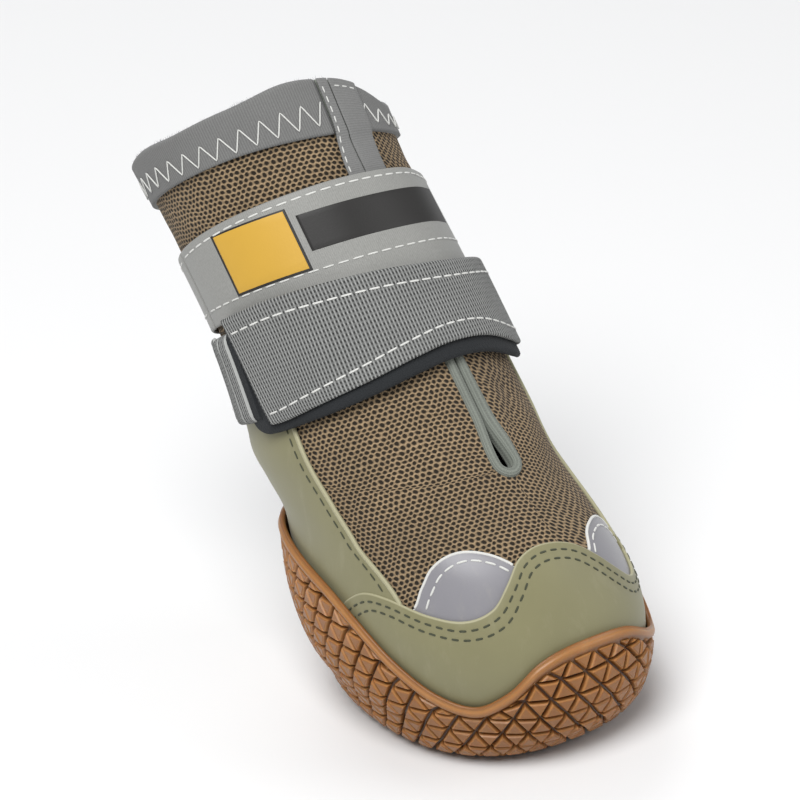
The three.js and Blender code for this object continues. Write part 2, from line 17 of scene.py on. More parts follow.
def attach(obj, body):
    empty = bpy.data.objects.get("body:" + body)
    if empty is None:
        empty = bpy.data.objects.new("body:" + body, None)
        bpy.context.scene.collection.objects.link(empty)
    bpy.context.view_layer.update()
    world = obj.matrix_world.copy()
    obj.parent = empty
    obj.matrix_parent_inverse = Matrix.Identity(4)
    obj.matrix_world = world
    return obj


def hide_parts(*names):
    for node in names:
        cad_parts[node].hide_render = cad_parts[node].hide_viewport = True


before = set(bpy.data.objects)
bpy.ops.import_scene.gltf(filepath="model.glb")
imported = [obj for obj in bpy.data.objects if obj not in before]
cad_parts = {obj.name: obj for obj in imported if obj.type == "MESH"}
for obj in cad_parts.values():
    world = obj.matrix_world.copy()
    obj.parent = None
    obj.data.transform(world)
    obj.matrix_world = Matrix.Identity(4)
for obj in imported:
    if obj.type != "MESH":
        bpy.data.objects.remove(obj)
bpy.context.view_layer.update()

bl_info = {
    "name": "Dog boot",
    "version": (1, 0, 0),
    "blender": (4, 5, 0),
    "location": "View3D > Sidebar > Dog boot",
    "description": "Builds the visible pieces of a dog boot round its packed solids",
    "category": "Mesh",
}

MM = 0.001

# ---- tables of the boot, in millimetres, levels and degrees ----

# front y, front z, back y, back z, half width, squareness, middle x and cant of each section of the last
SECTIONS = np.array(
    [
        (-34.5, 6, 34, 6, 26, 2.25, 0, 0),
        (-39.2, 16, 40, 16, 30, 2.3, -0.7, 0.01),
        (-39.5, 28, 44, 31, 31, 2.3, -1.8, 0.04),
        (-32.5, 44, 49.5, 39.5, 29, 2.12, -2.8, 0.06),
        (-19, 54.5, 54.5, 44, 28.6, 2.08, -3.2, 0.07),
        (-7, 64.5, 57, 46.5, 29.4, 2.05, -2.8, 0.08),
        (4.5, 76, 58, 50.5, 28.8, 2.05, -2.4, 0.085),
        (17, 93, 64, 65.5, 28, 2, -3.1, 0.09),
        (28.5, 110, 75, 81, 27.5, 2, -4.6, 0.095),
        (35, 119.5, 82.5, 90.5, 27.5, 2, -5.4, 0.1),
        (41.5, 131, 88, 98.5, 28, 2, -6.3, 0.1),
    ],
    float,
)
TOP = len(SECTIONS) - 1
# the collar droops, or with a minus stands up, above a level: turn, spread, share
DROOP_LEVEL = 9.0
DROOPS = ((-52.0, 26.0, 0.42), (58.0, 34.0, 0.1), (0.0, 26.0, -0.07))
LEVEL_MM = 13.5  # usual distance between two levels on the shaft
ROUND_MM = 0.5  # usual distance round the shaft of one degree of turn
TAPE_ROUND_MM = 1.08 * ROUND_MM  # the same, out on the tapes

# turn from the toe, height of the sole's rim
RIM = np.array(
    [
        (0, 28), (17, 26.3), (30, 20.8), (41, 17.6), (53, 19.8), (65, 25),
        (79, 31.7), (94, 36), (120, 38.5), (150, 37.5), (180, 37.5),
    ],
    float,
)
RIM_LATER = 0.78  # on the +X side the rim rises a little later
# signed turn, level of the toe rand's scalloped edge
RAND_EDGE = np.array(
    [
        (-92, 1.8), (-84, 2.2), (-76, 2.44), (-68, 2.48), (-58, 2.3), (-50, 2.2), (-42, 2.3),
        (-34, 2.56), (-26, 2.84), (-17, 3.1), (-8, 3.23), (2, 3.25), (11, 3.13), (19, 2.86),
        (27, 2.6), (38, 2.46), (50, 2.48), (64, 2.57), (74, 2.52), (84, 2.25), (92, 1.9),
    ],
    float,
)
# signed turn, level of the upper edge of each half-oval patch
PATCHES = {
    "left": np.array(
        [(10, 2.95), (14, 3.13), (20, 3.28), (28, 3.35), (36, 3.28), (44, 3.08), (50, 2.8), (56, 2.5)]
    ),
    "right": np.array(
        [(-65, 2.35), (-60, 2.63), (-53, 2.9), (-45, 3.09), (-37, 3.15), (-30, 3.1), (-24, 2.9)]
    ),
}
# level, turn of the slit's centre line
SLIT_LINE = np.array([(4, -11.5), (5, -10), (6, -10.3), (8, -10), (10, -10.5), (10.6, -10.8)], float)
SLIT_UNDER_BAND = SLIT_LINE[3, 1]  # its turn at the band
SLIT_LOW, SLIT_CLOSED = 4.5, 5.3
SLIT_HALF_LOW, SLIT_HALF_HIGH = 1.6, 0.6

# the bottom turning up into the wall: share of the outline, height, share of the spring
BOTTOM_EDGE = ((0.74, 0.0, 0.0), (0.83, 0.5, 0.35), (0.91, 2.0, 0.7), (0.97, 4.8, 0.8), (1.0, 8.5, -1.0))
TOE_SPRING, HEEL_SPRING = 2.2, 1.6
SOLE_INSIDE, SOLE_FLOOR = 1.5, 5.0
FOOT_WALL, FULL_WALL, RIM_WALL, TAPER = 2.1, 2.8, 1.4, 1.1
WALL_FOOT, WALL_START = 0.45, 0.7  # levels between which the wall begins

# turns at which the straps begin and end, once round from the side; levels of the reflective band's
# edges, and the arch of its upper one
BAND = {"from": 100.0, "to": 458.0, "low": 7.13, "high": 8.1, "arch": 0.18}
BAND_TUCK = 6.92  # level of the band's lower edge behind the webbing
WEBBING = {"from": 104.0, "to": 441.0}
# turn over the front, levels of the webbing's lower and upper edge: it is drawn up at the slit and
# down at its free end
WEBBING_EDGES = np.array(
    [
        (-70, 6, 7.05), (-50, 6.04, 7.05), (-27, 6.2, 7.06), (-8, 6.23, 7.09),
        (10, 6.16, 7.13), (30, 6.04, 7.16), (56, 5.9, 7.19), (81, 5.8, 7.17),
    ],
    float,
)
FREE_END_SLANT = 7.0  # degrees that the webbing's lower corner lies short of its upper one
LOOP_PAD = {"from": -62.0, "to": 88.0, "below": 0.17, "high": 6.86}
STRAP_OFFSET = 1.5

# ---- settings that a user would change ----


def length(name, description, default):
    """A length in metres, shown in the scene's units."""
    return FloatProperty(
        name=name, description=description, default=default, min=0, unit="LENGTH", subtype="DISTANCE"
    )


def colour(name, description, default):
    """A linear colour without alpha."""
    return FloatVectorProperty(
        name=name, description=description, default=default, size=3, min=0, max=1, subtype="COLOR"
    )


class BootSoleSettings(bpy.types.PropertyGroup):
    """Sizes and colours of the rubber sole."""

    lug_pitch: length("Lug pitch", "Distance from one triangular lug to the next", 0.0075)
    wall_pitch: length("Wall lug pitch", "Distance between lugs round the wall", 0.0054)
    row_height: length("Wall row height", "Height of one row of lugs on the wall", 0.0046)
    groove: length("Groove width", "Width of the grooves between lugs", 0.0012)
    groove_depth: length("Groove depth", "Depth of the grooves between lugs", 0.0013)
    lip: length("Lip", "Height of the smooth lip below the rim", 0.0020)
    rubber: colour("Rubber", "Colour of the rubber", (0.240, 0.098, 0.026))
    # painted highlight: a lighter rubber mixed onto the lugs' edges and the lip, where the attribute proud is
    # over 1
    rubber_edge: colour("Rubber at edges", "Colour of the lugs' edges and of the lip", (0.50, 0.245, 0.085))
    # painted shade: a dark rubber mixed into the grooves and the inside of the cup, where the attribute proud
    # is under 1
    rubber_dark: colour("Rubber in grooves", "Colour in the grooves", (0.060, 0.020, 0.006))


class BootFabricSettings(bpy.types.PropertyGroup):
    """Sizes and colours of mesh, tapes and webbing."""

    wall: length("Wall", "Thickness of the spacer mesh", 0.0018)
    mesh_pitch: length("Mesh pitch", "Distance between holes of the mesh", 0.0014)
    binding_width: length("Binding width", "Width of the folded edge of the slit", 0.00235)
    rib_pitch: length("Rib pitch", "Distance between ribs of the webbing", 0.0008)
    mesh_light: colour("Mesh threads", "Colour of the mesh threads", (0.235, 0.168, 0.098))
    # painted shade: the near black colour of the holes stands in for their depth
    mesh_dark: colour("Mesh holes", "Colour down in the holes", (0.016, 0.011, 0.006))
    tape: colour("Tape", "Colour of the collar tape", (0.158, 0.158, 0.154))
    rolled: colour("Folded binding", "Colour of the folded slit edge", (0.185, 0.200, 0.172))
    facing: colour("Facing", "Colour of the facings beside the slit", (0.172, 0.172, 0.168))
    fibre: colour("Fibre", "Colour of the loose fibres", (0.33, 0.34, 0.35))
    reflective: colour("Reflective band", "Colour of the reflective band", (0.255, 0.255, 0.240))
    webbing: colour("Webbing", "Colour of the webbing", (0.30, 0.305, 0.295))
    pile: colour("Pile", "Colour of the dark pad", (0.016, 0.018, 0.020))
    ochre: colour("Square", "Colour of the plain square", (0.56, 0.33, 0.045))
    charcoal: colour("Bar", "Colour of the plain bar", (0.022, 0.021, 0.020))


class BootLeatherSettings(bpy.types.PropertyGroup):
    """Sizes and colours of the synthetic overlays."""

    thickness: length("Thickness", "Thickness of rand and counter", 0.0007)
    khaki: colour("Khaki", "Colour of rand and counter", (0.205, 0.192, 0.098))
    cut_edge: colour("Cut edge", "Colour of the cut edges", (0.36, 0.34, 0.21))
    silver: colour("Silver", "Colour of the half-oval patches", (0.225, 0.220, 0.238))


class BootThreadSettings(bpy.types.PropertyGroup):
    """Sizes and colours of the stitching."""

    dash: length("Stitch", "Length of one visible stitch", 0.0024)
    gap: length("Stitch gap", "Gap between two stitches", 0.0009)
    radius: length("Thread radius", "Radius of the thread", 0.00021)
    zigzag_pitch: length("Zigzag pitch", "Pitch of the collar's zigzag", 0.0050)
    white: colour("White thread", "Colour of the light thread", (0.62, 0.62, 0.59))
    green: colour("Dark thread", "Colour of the dark thread", (0.045, 0.050, 0.026))


class BootStageSettings(bpy.types.PropertyGroup):
    """Camera, floor and lights."""

    focal: FloatProperty(
        name="Focal length", description="Lens on a 36 mm sensor", default=205, min=10, unit="CAMERA"
    )
    key_power: FloatProperty(
        name="Key light", description="Power of the large soft light", default=19, min=0, unit="POWER"
    )
    fill_power: FloatProperty(
        name="Fill light", description="Power of the fill light", default=4, min=0, unit="POWER"
    )
    world_strength: FloatProperty(
        name="World strength", description="Strength of the light from all round", default=0.42, min=0
    )
    floor: colour("Floor", "Colour of the floor", (0.80, 0.80, 0.80))
    world: colour("World", "Colour of the light from all round", (0.62, 0.63, 0.65))


class BootSettings(bpy.types.PropertyGroup):
    """All the settings of the boot."""

    sole: PointerProperty(type=BootSoleSettings)
    fabric: PointerProperty(type=BootFabricSettings)
    leather: PointerProperty(type=BootLeatherSettings)
    thread: PointerProperty(type=BootThreadSettings)
    stage: PointerProperty(type=BootStageSettings)


# ---- the last ----


def smooth_at(rows, x):
    """Cubic Hermite curve through the rows of (x, value), with the slope between a row's neighbours
    at each row and level ends."""
    xs, ys = rows[:, 0], rows[:, 1]
    slopes = np.zeros(len(xs))
    slopes[1:-1] = (ys[2:] - ys[:-2]) / (xs[2:] - xs[:-2])
    x = np.clip(x, xs[0], xs[-1])
    i = np.clip(np.searchsorted(xs, x, side="right") - 1, 0, len(xs) - 2)
    span = xs[i + 1] - xs[i]
    u = (x - xs[i]) / span
    rise = ys[i + 1] - ys[i]
    a, b = slopes[i] * span, slopes[i + 1] * span
    return ys[i] + u * a + u**2 * (3 * rise - 2 * a - b) + u**3 * (a + b - 2 * rise)


def smoothstep(x, low, high):
    """0 below low, 1 above high, 3u^2 - 2u^3 between."""
    u = np.clip((np.asarray(x, float) - low) / (high - low), 0, 1)
    return u * u * (3 - 2 * u)


def bell(turn, middle, spread):
    """1 at the middle turn and exp(-x^2) at x spreads from it."""
    away = ((np.asarray(turn, float) - middle + 180) % 360 - 180) / spread
    return np.exp(-(away**2))


def section_at(level):
    """Catmull-Rom between the rows of SECTIONS, and straight on past the last row."""
    level = np.asarray(level, float)
    i = np.clip(np.floor(level), 0, TOP - 1).astype(int)
    u = (level - i)[..., None]
    rows = np.vstack([2 * SECTIONS[0] - SECTIONS[1], SECTIONS, 2 * SECTIONS[-1] - SECTIONS[-2]])
    p0, p1, p2, p3 = rows[i], rows[i + 1], rows[i + 2], rows[i + 3]
    bend = 2 * p0 - 5 * p1 + 4 * p2 - p3 + u * (3 * (p1 - p2) + p3 - p0)
    curve = p1 + 0.5 * u * (p2 - p0 + u * bend)
    return np.where(u > 1, p2 + (u - 1) * (p2 - p1), np.where(u < 0, p1 + u * (p2 - p1), curve))


def last_point(level, turn):
    """Point on the last: each section is a superellipse |cos|^n + |sin|^n = 1 in the plane through its
    front and back points, tilted sideways by its cant. Above the droop level the level is shortened by
    bell curves over the turn."""
    level, turn = np.asarray(level, float), np.asarray(turn, float)
    kept = 1 - sum(share * bell(turn, middle, spread) for middle, spread, share in DROOPS)
    s = section_at(np.where(level > DROOP_LEVEL, DROOP_LEVEL + (level - DROOP_LEVEL) * kept, level))
    c, d = np.cos(np.radians(turn)), np.sin(np.radians(turn))
    n = s[..., 5]
    reach = (np.abs(c) ** n + np.abs(d) ** n) ** (-1 / n)
    aside = s[..., 4] * d * reach
    y = (s[..., 0] + s[..., 2]) / 2 + (s[..., 0] - s[..., 2]) / 2 * c * reach
    z = (s[..., 1] + s[..., 3]) / 2 + (s[..., 1] - s[..., 3]) / 2 * c * reach + s[..., 7] * aside
    return np.stack([s[..., 6] - aside, y, z], -1)


def unit(vectors):
    """Vectors divided by their lengths."""
    return vectors / np.maximum(np.linalg.norm(vectors, axis=-1, keepdims=True), 1e-12)


def last_normal(level, turn):
    """Cross product of the slopes along level and turn, pointing out of the boot."""
    up = last_point(level + 0.002, turn) - last_point(level - 0.002, turn)
    along = last_point(level, turn + 0.1) - last_point(level, turn - 0.1)
    return unit(np.cross(up, along))


def skin(level, turn, offset):
    """Point at a distance from the last along its normal."""
    level, turn, offset = np.broadcast_arrays(
        np.asarray(level, float), np.asarray(turn, float), np.asarray(offset, float)
    )
    return last_point(level, turn) + last_normal(level, turn) * offset[..., None]


def from_toe(turn):
    """Turn measured from the toe, the same on both sides."""
    return np.abs((np.asarray(turn, float) + 180) % 360 - 180)


def level_at_height(turn, height):
    """Level where the last has that height, by halving."""
    turn, height = np.broadcast_arrays(np.asarray(turn, float), np.asarray(height, float))
    low, high = np.zeros(turn.shape), np.full(turn.shape, float(TOP))
    for _ in range(30):
        middle = (low + high) / 2
        below = last_point(middle, turn)[..., 2] < height
        low, high = np.where(below, middle, low), np.where(below, high, middle)
    return low


def signed(turn):
    """Turn between -180 and 180."""
    return (np.asarray(turn, float) + 180) % 360 - 180


def rand_edge(turn):
    """Level of the rand's scalloped edge."""
    return smooth_at(RAND_EDGE, signed(turn))


def rim_level_at(turn):
    """Level of the sole's rim, from its height."""
    turn = signed(turn)
    return level_at_height(turn, smooth_at(RIM, np.where(turn < 0, -turn * RIM_LATER, turn)))


def wall_outside(level, rim_level):
    """Distance of the sole's outside from the last: it swells above its foot and thins to the rim."""
    wall = FOOT_WALL + (FULL_WALL - FOOT_WALL) * smoothstep(level, 0.3, 1.2)
    thin = np.clip((level - rim_level + TAPER) / TAPER, 0, 1)
    return SOLE_INSIDE + wall - (FULL_WALL - RIM_WALL) * thin * thin * (3 - 2 * thin)


def slit_turn(level):
    """Turn of the slit's centre line."""
    return smooth_at(SLIT_LINE, level)


def slit_half(level):
    """Half width of the slit in millimetres: wide at its low end, nearly shut towards the collar."""
    return SLIT_HALF_LOW + (SLIT_HALF_HIGH - SLIT_HALF_LOW) * smoothstep(level, SLIT_LOW, SLIT_CLOSED)


def throat_scale():
    """Millimetres for one level at the slit's low end."""
    ends = last_point(np.array([SLIT_LOW - 0.5, SLIT_LOW + 0.5]), np.zeros(2))
    return float(np.linalg.norm(ends[1] - ends[0]))


def across_turn(distance, level):
    """Degrees of turn that a distance in millimetres spans at the front of the last."""
    return np.degrees(distance / section_at(level)[..., 4])


def beside_slit(level, across, offset):
    """Point beside the slit, at a distance across from its centre line."""
    return skin(level, slit_turn(level) - across_turn(across, level), offset)


# centre line of each soft fold as level, turn, level, turn, and its width and height in millimetres
FOLDS = (
    (4.0, 16, 5.6, 40, 3.2, -0.55),
    (4.4, 10, 5.9, 30, 3.0, 0.35),
    (4.1, -14, 5.7, -38, 3.2, -0.5),
    (4.6, -10, 5.9, -28, 3.0, 0.3),
    (5.3, 52, 5.95, 18, 2.6, -0.6),
    (5.2, -50, 5.95, -16, 2.6, -0.5),
    (3.4, 24, 3.9, 44, 3.4, -0.35),
    (3.5, -20, 4.0, -42, 3.4, -0.3),
    (8.5, 60, 9.0, 20, 2.6, -0.35),
    (8.4, 120, 8.9, 160, 3.0, -0.4),
    (8.6, -60, 9.0, -100, 3.0, -0.35),
)


def creases(level, turn):
    """Soft folds of the mesh: the sum, over the folds, of height times exp(-(gap / width)^2), where gap
    is the distance to the fold's centre line, eased by a sine towards the line's ends."""
    x, y = signed(turn) * ROUND_MM, np.asarray(level, float) * LEVEL_MM
    total = np.zeros(np.broadcast(x, y).shape)
    for l0, t0, l1, t1, width, height in FOLDS:
        a = np.array([t0 * ROUND_MM, l0 * LEVEL_MM])
        d = np.array([t1 * ROUND_MM, l1 * LEVEL_MM]) - a
        share = np.clip(((x - a[0]) * d[0] + (y - a[1]) * d[1]) / (d @ d), 0, 1)
        gap = np.hypot(x - a[0] - share * d[0], y - a[1] - share * d[1])
        total += height * np.exp(-((gap / width) ** 2)) * np.sin(np.pi * (0.15 + 0.7 * share))
    return total


# ---- meshes from arrays ----


def mesh_object(name, points, quads, triangles=(), uv=None, attributes=(), smooth=True):
    """A mesh object at the origin, of quads and then triangles. points are millimetres, uv one pair for
    each corner of each quad, and attributes (name, value for each point from the first on). Triangles
    have flat coordinates 0, and so have further points the value 0."""
    points = np.reshape(points, (-1, 3))
    triangles = np.asarray(triangles, int).reshape(-1, 3)
    corners = np.concatenate([quads.ravel(), triangles.ravel()])
    starts = np.concatenate([np.arange(len(quads)) * 4, quads.size + np.arange(len(triangles)) * 3])
    mesh = bpy.data.meshes.new(name)
    mesh.vertices.add(len(points))
    mesh.vertices.foreach_set("co", (points * MM).astype(np.float32).ravel())
    mesh.loops.add(len(corners))
    mesh.loops.foreach_set("vertex_index", corners.astype(np.int32))
    mesh.polygons.add(len(starts))
    mesh.polygons.foreach_set("loop_start", starts.astype(np.int32))
    if uv is not None:
        flat = np.vstack([np.reshape(uv, (-1, 2)), np.zeros((triangles.size, 2))]) * MM
        mesh.uv_layers.new(name="flat").data.foreach_set("uv", flat.astype(np.float32).ravel())
    for label, values in attributes:
        padded = np.zeros(len(points), np.float32)
        padded[: np.size(values)] = np.ravel(values)
        mesh.attributes.new(label, "FLOAT", "POINT").data.foreach_set("value", padded)
    mesh.update(calc_edges=True)
    mesh.validate()
    mesh.polygons.foreach_set("use_smooth", np.full(len(mesh.polygons), smooth))
    obj = bpy.data.objects.new(name, mesh)
    bpy.context.scene.collection.objects.link(obj)
    return obj


def grid_faces(rows, columns, close_rows=False, close_columns=False):
    """Quads between neighbouring points of a grid, wrapped round where asked."""
    r = np.arange(rows if close_rows else rows - 1)
    c = np.arange(columns if close_columns else columns - 1)
    i, j = np.meshgrid(r, c, indexing="ij")
    i2, j2 = (i + 1) % rows, (j + 1) % columns
    quads = np.stack([i * columns + j, i2 * columns + j, i2 * columns + j2, i * columns + j2], -1)
    return quads.reshape(-1, 4), (i.ravel(), j.ravel())


def grid_uv(cells, u, v):
    """Flat coordinates of the corners of each quad. u and v have one more row or column than the grid
    where it is wrapped round, so that the pattern runs on over the join."""
    i, j = cells
    pairs = []
    for a, b in ((i, j), (i + 1, j), (i + 1, j + 1), (i, j + 1)):
        a = np.minimum(a, len(u) - 1)
        pairs.append(np.stack([u[a, b], v[a, b]], -1))
    return np.stack(pairs, 1)


def wrapped(grid):
    """The grid with its first column once more at its end."""
    return np.hstack([grid, grid[:, :1]])


def repeated(faces, count, size):
    """The faces of one small piece for each of count such pieces, which have size points each."""
    return (faces[None] + (np.arange(count) * size)[:, None, None]).reshape(-1, faces.shape[1])


def merge_and_face_out(obj, distance=1e-6):
    """Merges points nearer than a distance in metres and turns all faces outwards."""
    work = bmesh.new()
    work.from_mesh(obj.data)
    bmesh.ops.remove_doubles(work, verts=work.verts, dist=distance)
    bmesh.ops.dissolve_degenerate(work, edges=work.edges, dist=1e-7)
    bmesh.ops.recalc_face_normals(work, faces=work.faces)
    work.to_mesh(obj.data)
    work.free()
    return obj


FINE = 1e-8  # merging distance for pieces of many tiny solids


def fold_cap(size, fold):
    """Triangles that close a ring folded so that corner i lies opposite corner fold - i, one strip
    after another from one fold to the other."""
    start = math.ceil(fold / 2) - size // 2
    first = start + np.arange(size // 2 + 1)
    a, b = first % size, (first + 1) % size
    c, d = (fold - first - 1) % size, (fold - first) % size
    both = np.concatenate([np.stack([a, b, c], -1), np.stack([a, c, d], -1)])
    whole = (both[:, 0] != both[:, 1]) & (both[:, 1] != both[:, 2]) & (both[:, 2] != both[:, 0])
    both = both[whole]
    _, single = np.unique(np.sort(both, 1), axis=0, return_index=True)
    return both[np.sort(single)]


def loop_solid(name, rings, u=None, v=None, attributes=(), fold=None):
    """Solid from rings of points along a path. Each end is closed by strips between the opposite
    corners of its folded ring, or else by a fan of triangles to its middle."""
    count, size = rings.shape[:2]
    quads, cells = grid_faces(count, size, close_columns=True)
    points = rings.reshape(-1, 3)
    far = (count - 1) * size
    if fold is None:
        points = np.vstack([points, rings[0].mean(0), rings[-1].mean(0)])
        j = np.arange(size)
        k = (j + 1) % size
        start, end = np.full(size, len(points) - 2), np.full(size, len(points) - 1)
        triangles = np.vstack([np.stack([start, k, j], -1), np.stack([end, far + j, far + k], -1)])
    else:
        cap = fold_cap(size, fold)
        triangles = np.vstack([cap[:, ::-1], cap + far])
    uv = None if u is None else grid_uv(cells, u, v)
    return merge_and_face_out(mesh_object(name, points, quads, triangles, uv, attributes))


BEND_STEPS = 5  # corners round each edge of a tape


def tape_outline(rows, roundness):
    """Cross-section of a tape as (share across, share through): up its outside, round its edge by half
    an ellipse, down its inside and round the other edge."""
    across = np.linspace(roundness, 1 - roundness, rows)
    angle = np.radians(np.linspace(90, -90, BEND_STEPS + 2)[1:-1])
    bend = np.cos(angle) * roundness
    through = 0.5 + 0.5 * np.sin(angle)
    s = np.concatenate([across, 1 - roundness + bend, across[::-1], roundness - bend])
    o = np.concatenate([np.ones(rows), through, np.zeros(rows), through[::-1]])
    return s, o


def tape_fold(rows):
    """Sum of the places of two opposite corners of a tape's cross-section."""
    return 2 * rows + BEND_STEPS - 1


def tape(name, turns, low, high, inner, outer, rows, swept=None):
    """A tape wrapped round the last between two levels, whose edges and thickness may change on the
    way. swept may move the turn of a point at a level. The tape carries an attribute with the distance
    to its upper edge."""
    low, high, inner, outer = (np.broadcast_to(a, turns.shape)[:, None] for a in (low, high, inner, outer))
    width = np.mean(high - low) * LEVEL_MM
    s, o = tape_outline(rows, min(0.5 * np.mean(outer - inner) / width, 0.3))
    level = low + (high - low) * s
    offset = inner + (outer - inner) * o
    turn = turns[:, None] + 0 * level if swept is None else swept(level, turns[:, None])
    u = np.repeat(turns[:, None] * TAPE_ROUND_MM, len(s) + 1, 1)
    edge = (high - level) * LEVEL_MM
    rings = skin(level, turn, offset)
    return loop_solid(name, rings, u, wrapped(level) * LEVEL_MM, [("to_edge", edge)], tape_fold(rows))


def along(level, turn, offset):
    """Lengths along a curve on the last, from its first point."""
    points = skin(level, turn, offset)
    steps = np.linalg.norm(np.diff(points, axis=0), axis=1)
    return np.concatenate([[0], np.cumsum(steps)])


def tube_rings(level, turn, offset, radius, sides, flat):
    """Rings round curves over the last, each an ellipse that is flat times as high as it is wide."""
    centre = skin(level, turn, offset)
    normal = last_normal(level, turn)
    side = unit(np.cross(unit(np.gradient(centre, axis=-2)), normal))
    angle = np.radians(np.arange(sides) * 360 / sides)[:, None]
    ring = np.cos(angle) * side[..., None, :] + flat * np.sin(angle) * normal[..., None, :]
    return centre[..., None, :] + np.asarray(radius)[..., None, None] * ring


def thread(name, curves, radius, dash, gap):
    """Stitches on curves over the last. Each is a short tube, pressed a little flat, whose radius falls
    to nothing at its ends as the root of 1 - x^8."""
    rings, sides, flat = 7, 6, 0.7
    x = np.sin(np.linspace(-math.pi / 2, math.pi / 2, rings))
    sets = []
    for level, turn, offset in curves:
        offset = np.broadcast_to(offset, level.shape)
        run = along(level, turn, offset)
        count = max(int((run[-1] + gap) / (dash + gap)), 1)
        pace = run[-1] / count
        s = (np.arange(count)[:, None] + 0.5) * pace + x[None, :] * (pace - gap) / 2
        sets.append([np.interp(s, run, a) for a in (level, turn, offset)])
    level, turn, offset = (np.vstack([a[k] for a in sets]) for k in range(3))
    tubes = tube_rings(level, turn, offset, radius * np.maximum(1 - x**8, 0.04) ** 0.5, sides, flat)
    count, size = len(tubes), rings * sides
    quads, _ = grid_faces(rings, sides, close_columns=True)
    first = np.arange(sides - 2)
    start = np.stack([0 * first, first + 2, first + 1], -1)
    ends = np.vstack([start, start[:, [0, 2, 1]] + size - sides])
    faces = repeated(quads, count, size), repeated(ends, count, size)
    return merge_and_face_out(mesh_object(name, tubes, *faces), FINE)


def running_cord(name, level, turn, offset, radius, sides=8, flat=1.0):
    """A cord that follows one curve over the last."""
    return loop_solid(name, tube_rings(level, turn, offset, radius, sides, flat))


def inward(level, turn, distance):
    """The curve moved sideways in the flattened last, to its right when it is walked."""
    x, y = turn * TAPE_ROUND_MM, level * LEVEL_MM
    dx, dy = np.gradient(x), np.gradient(y)
    long = np.hypot(dx, dy)
    return (y - distance * dx / long) / LEVEL_MM, (x + distance * dy / long) / TAPE_ROUND_MM


# ---- materials ----


def feed(socket, value):
    """Links an output or a value to a socket, or sets the socket to a number, vector or colour."""
    if isinstance(value, Value):
        value = value.socket
    if isinstance(value, bpy.types.NodeSocket):
        socket.id_data.links.new(value, socket)
    elif isinstance(value, (int, float)) or len(value) == len(socket.default_value):
        socket.default_value = value
    else:
        socket.default_value = (*value, 1)


class Value:
    """A number that changes over the surface. Each sum of such numbers adds a Math node."""

    def __init__(self, socket):
        self.socket = socket

    def math(self, operation, *others):
        """A Math node's output for this number and others."""
        made = self.socket.id_data.nodes.new("ShaderNodeMath")
        made.operation = operation
        for socket, value in zip(made.inputs, (self, *others)):
            feed(socket, value)
        return Value(made.outputs[0])

    def __add__(self, other):
        return self.math("ADD", other)

    def __sub__(self, other):
        return self.math("SUBTRACT", other)

    def __mul__(self, other):
        return self.math("MULTIPLY", other)

    def __truediv__(self, other):
        return self.math("DIVIDE", other)


def node(tree, kind, group=None, **inputs):
    """A node whose named inputs are set or linked."""
    made = tree.nodes.new(kind)
    if group:
        made.node_tree = group
    for name, value in inputs.items():
        feed(made.inputs[name], value)
    return made


def place(tree, group, **inputs):
    """The outputs of a group node whose named inputs are set or linked."""
    return node(tree, "ShaderNodeGroup", group, **inputs).outputs


def noise(tree, vector, scale, detail, roughness=0.5):
    """Smooth noise between 0 and 1."""
    made = node(tree, "ShaderNodeTexNoise", Vector=vector, Scale=scale, Detail=detail, Roughness=roughness)
    return Value(made.outputs[0])


def lightened(tree, tone, light):
    """A colour whose value is multiplied by a number."""
    return node(tree, "ShaderNodeHueSaturation", Color=tone, Value=light).outputs[0]


def parts(tree, vector):
    """First and second part of a vector."""
    made = node(tree, "ShaderNodeSeparateXYZ", Vector=vector)
    return Value(made.outputs[0]), Value(made.outputs[1])


def ramp_between(value, low, high):
    """0 at low and 1 at high, smoothly between."""
    made = value.socket.id_data.nodes.new("ShaderNodeMapRange")
    made.interpolation_type = "SMOOTHSTEP"
    for name, number in (("Value", value), ("From Min", low), ("From Max", high)):
        feed(made.inputs[name], number)
    return Value(made.outputs["Result"])


def mix_colour(factor, a, b):
    """Colour between a and b by factor."""
    made = factor.socket.id_data.nodes.new("ShaderNodeMix")
    made.data_type = "RGBA"
    for number, value in ((0, factor), (6, a), (7, b)):
        feed(made.inputs[number], value)
    return made.outputs[2]


WHITE = (1.0, 1.0, 1.0, 1.0)
SOCKETS = {type(None): "NodeSocketVector", float: "NodeSocketFloat", tuple: "NodeSocketColor"}


def new_group(label, inputs, outputs):
    """A shader node group, its inputs and its outputs. The kind of a socket follows from its default:
    none for a vector, a number or a colour."""
    tree = bpy.data.node_groups.new(label, "ShaderNodeTree")
    for side, sockets in (("INPUT", inputs), ("OUTPUT", outputs)):
        for name, default in sockets.items():
            made = tree.interface.new_socket(name=name, in_out=side, socket_type=SOCKETS[type(default)])
            if side == "INPUT" and default is not None:
                made.default_value = default
    return tree, tree.nodes.new("NodeGroupInput").outputs, tree.nodes.new("NodeGroupOutput").inputs


def once(collection, name, build):
    """The material or node group of that name, built if it isn't there yet."""
    label = f"boot {name}"
    return collection.get(label) or build(label)


def shared_group(build):
    """Turns the builder of a node group into a function that gives the group and builds it only once."""
    return lambda: once(bpy.data.node_groups, build.__name__.replace("_", " "), build)


@shared_group
def grain(label):
    """Fine uneven grain: a height from a noise, and a slow mottling of the colour."""
    inputs = {"Vector": None, "Scale": 2500.0, "Mottling": 0.15, "Colour": WHITE}
    outputs = {"Colour": WHITE, "Height": 0.0, "Roughness shift": 0.0}
    tree, source, sink = new_group(label, inputs, outputs)
    fine = noise(tree, source["Vector"], source["Scale"], 3.0)
    slow = noise(tree, source["Vector"], 90.0, 4.0)
    swing = (slow - 0.5) * source["Mottling"] * 2.0
    feed(sink["Colour"], lightened(tree, source["Colour"], swing + 1.0))
    feed(sink["Height"], fine)
    feed(sink["Roughness shift"], swing * 0.5)
    return tree


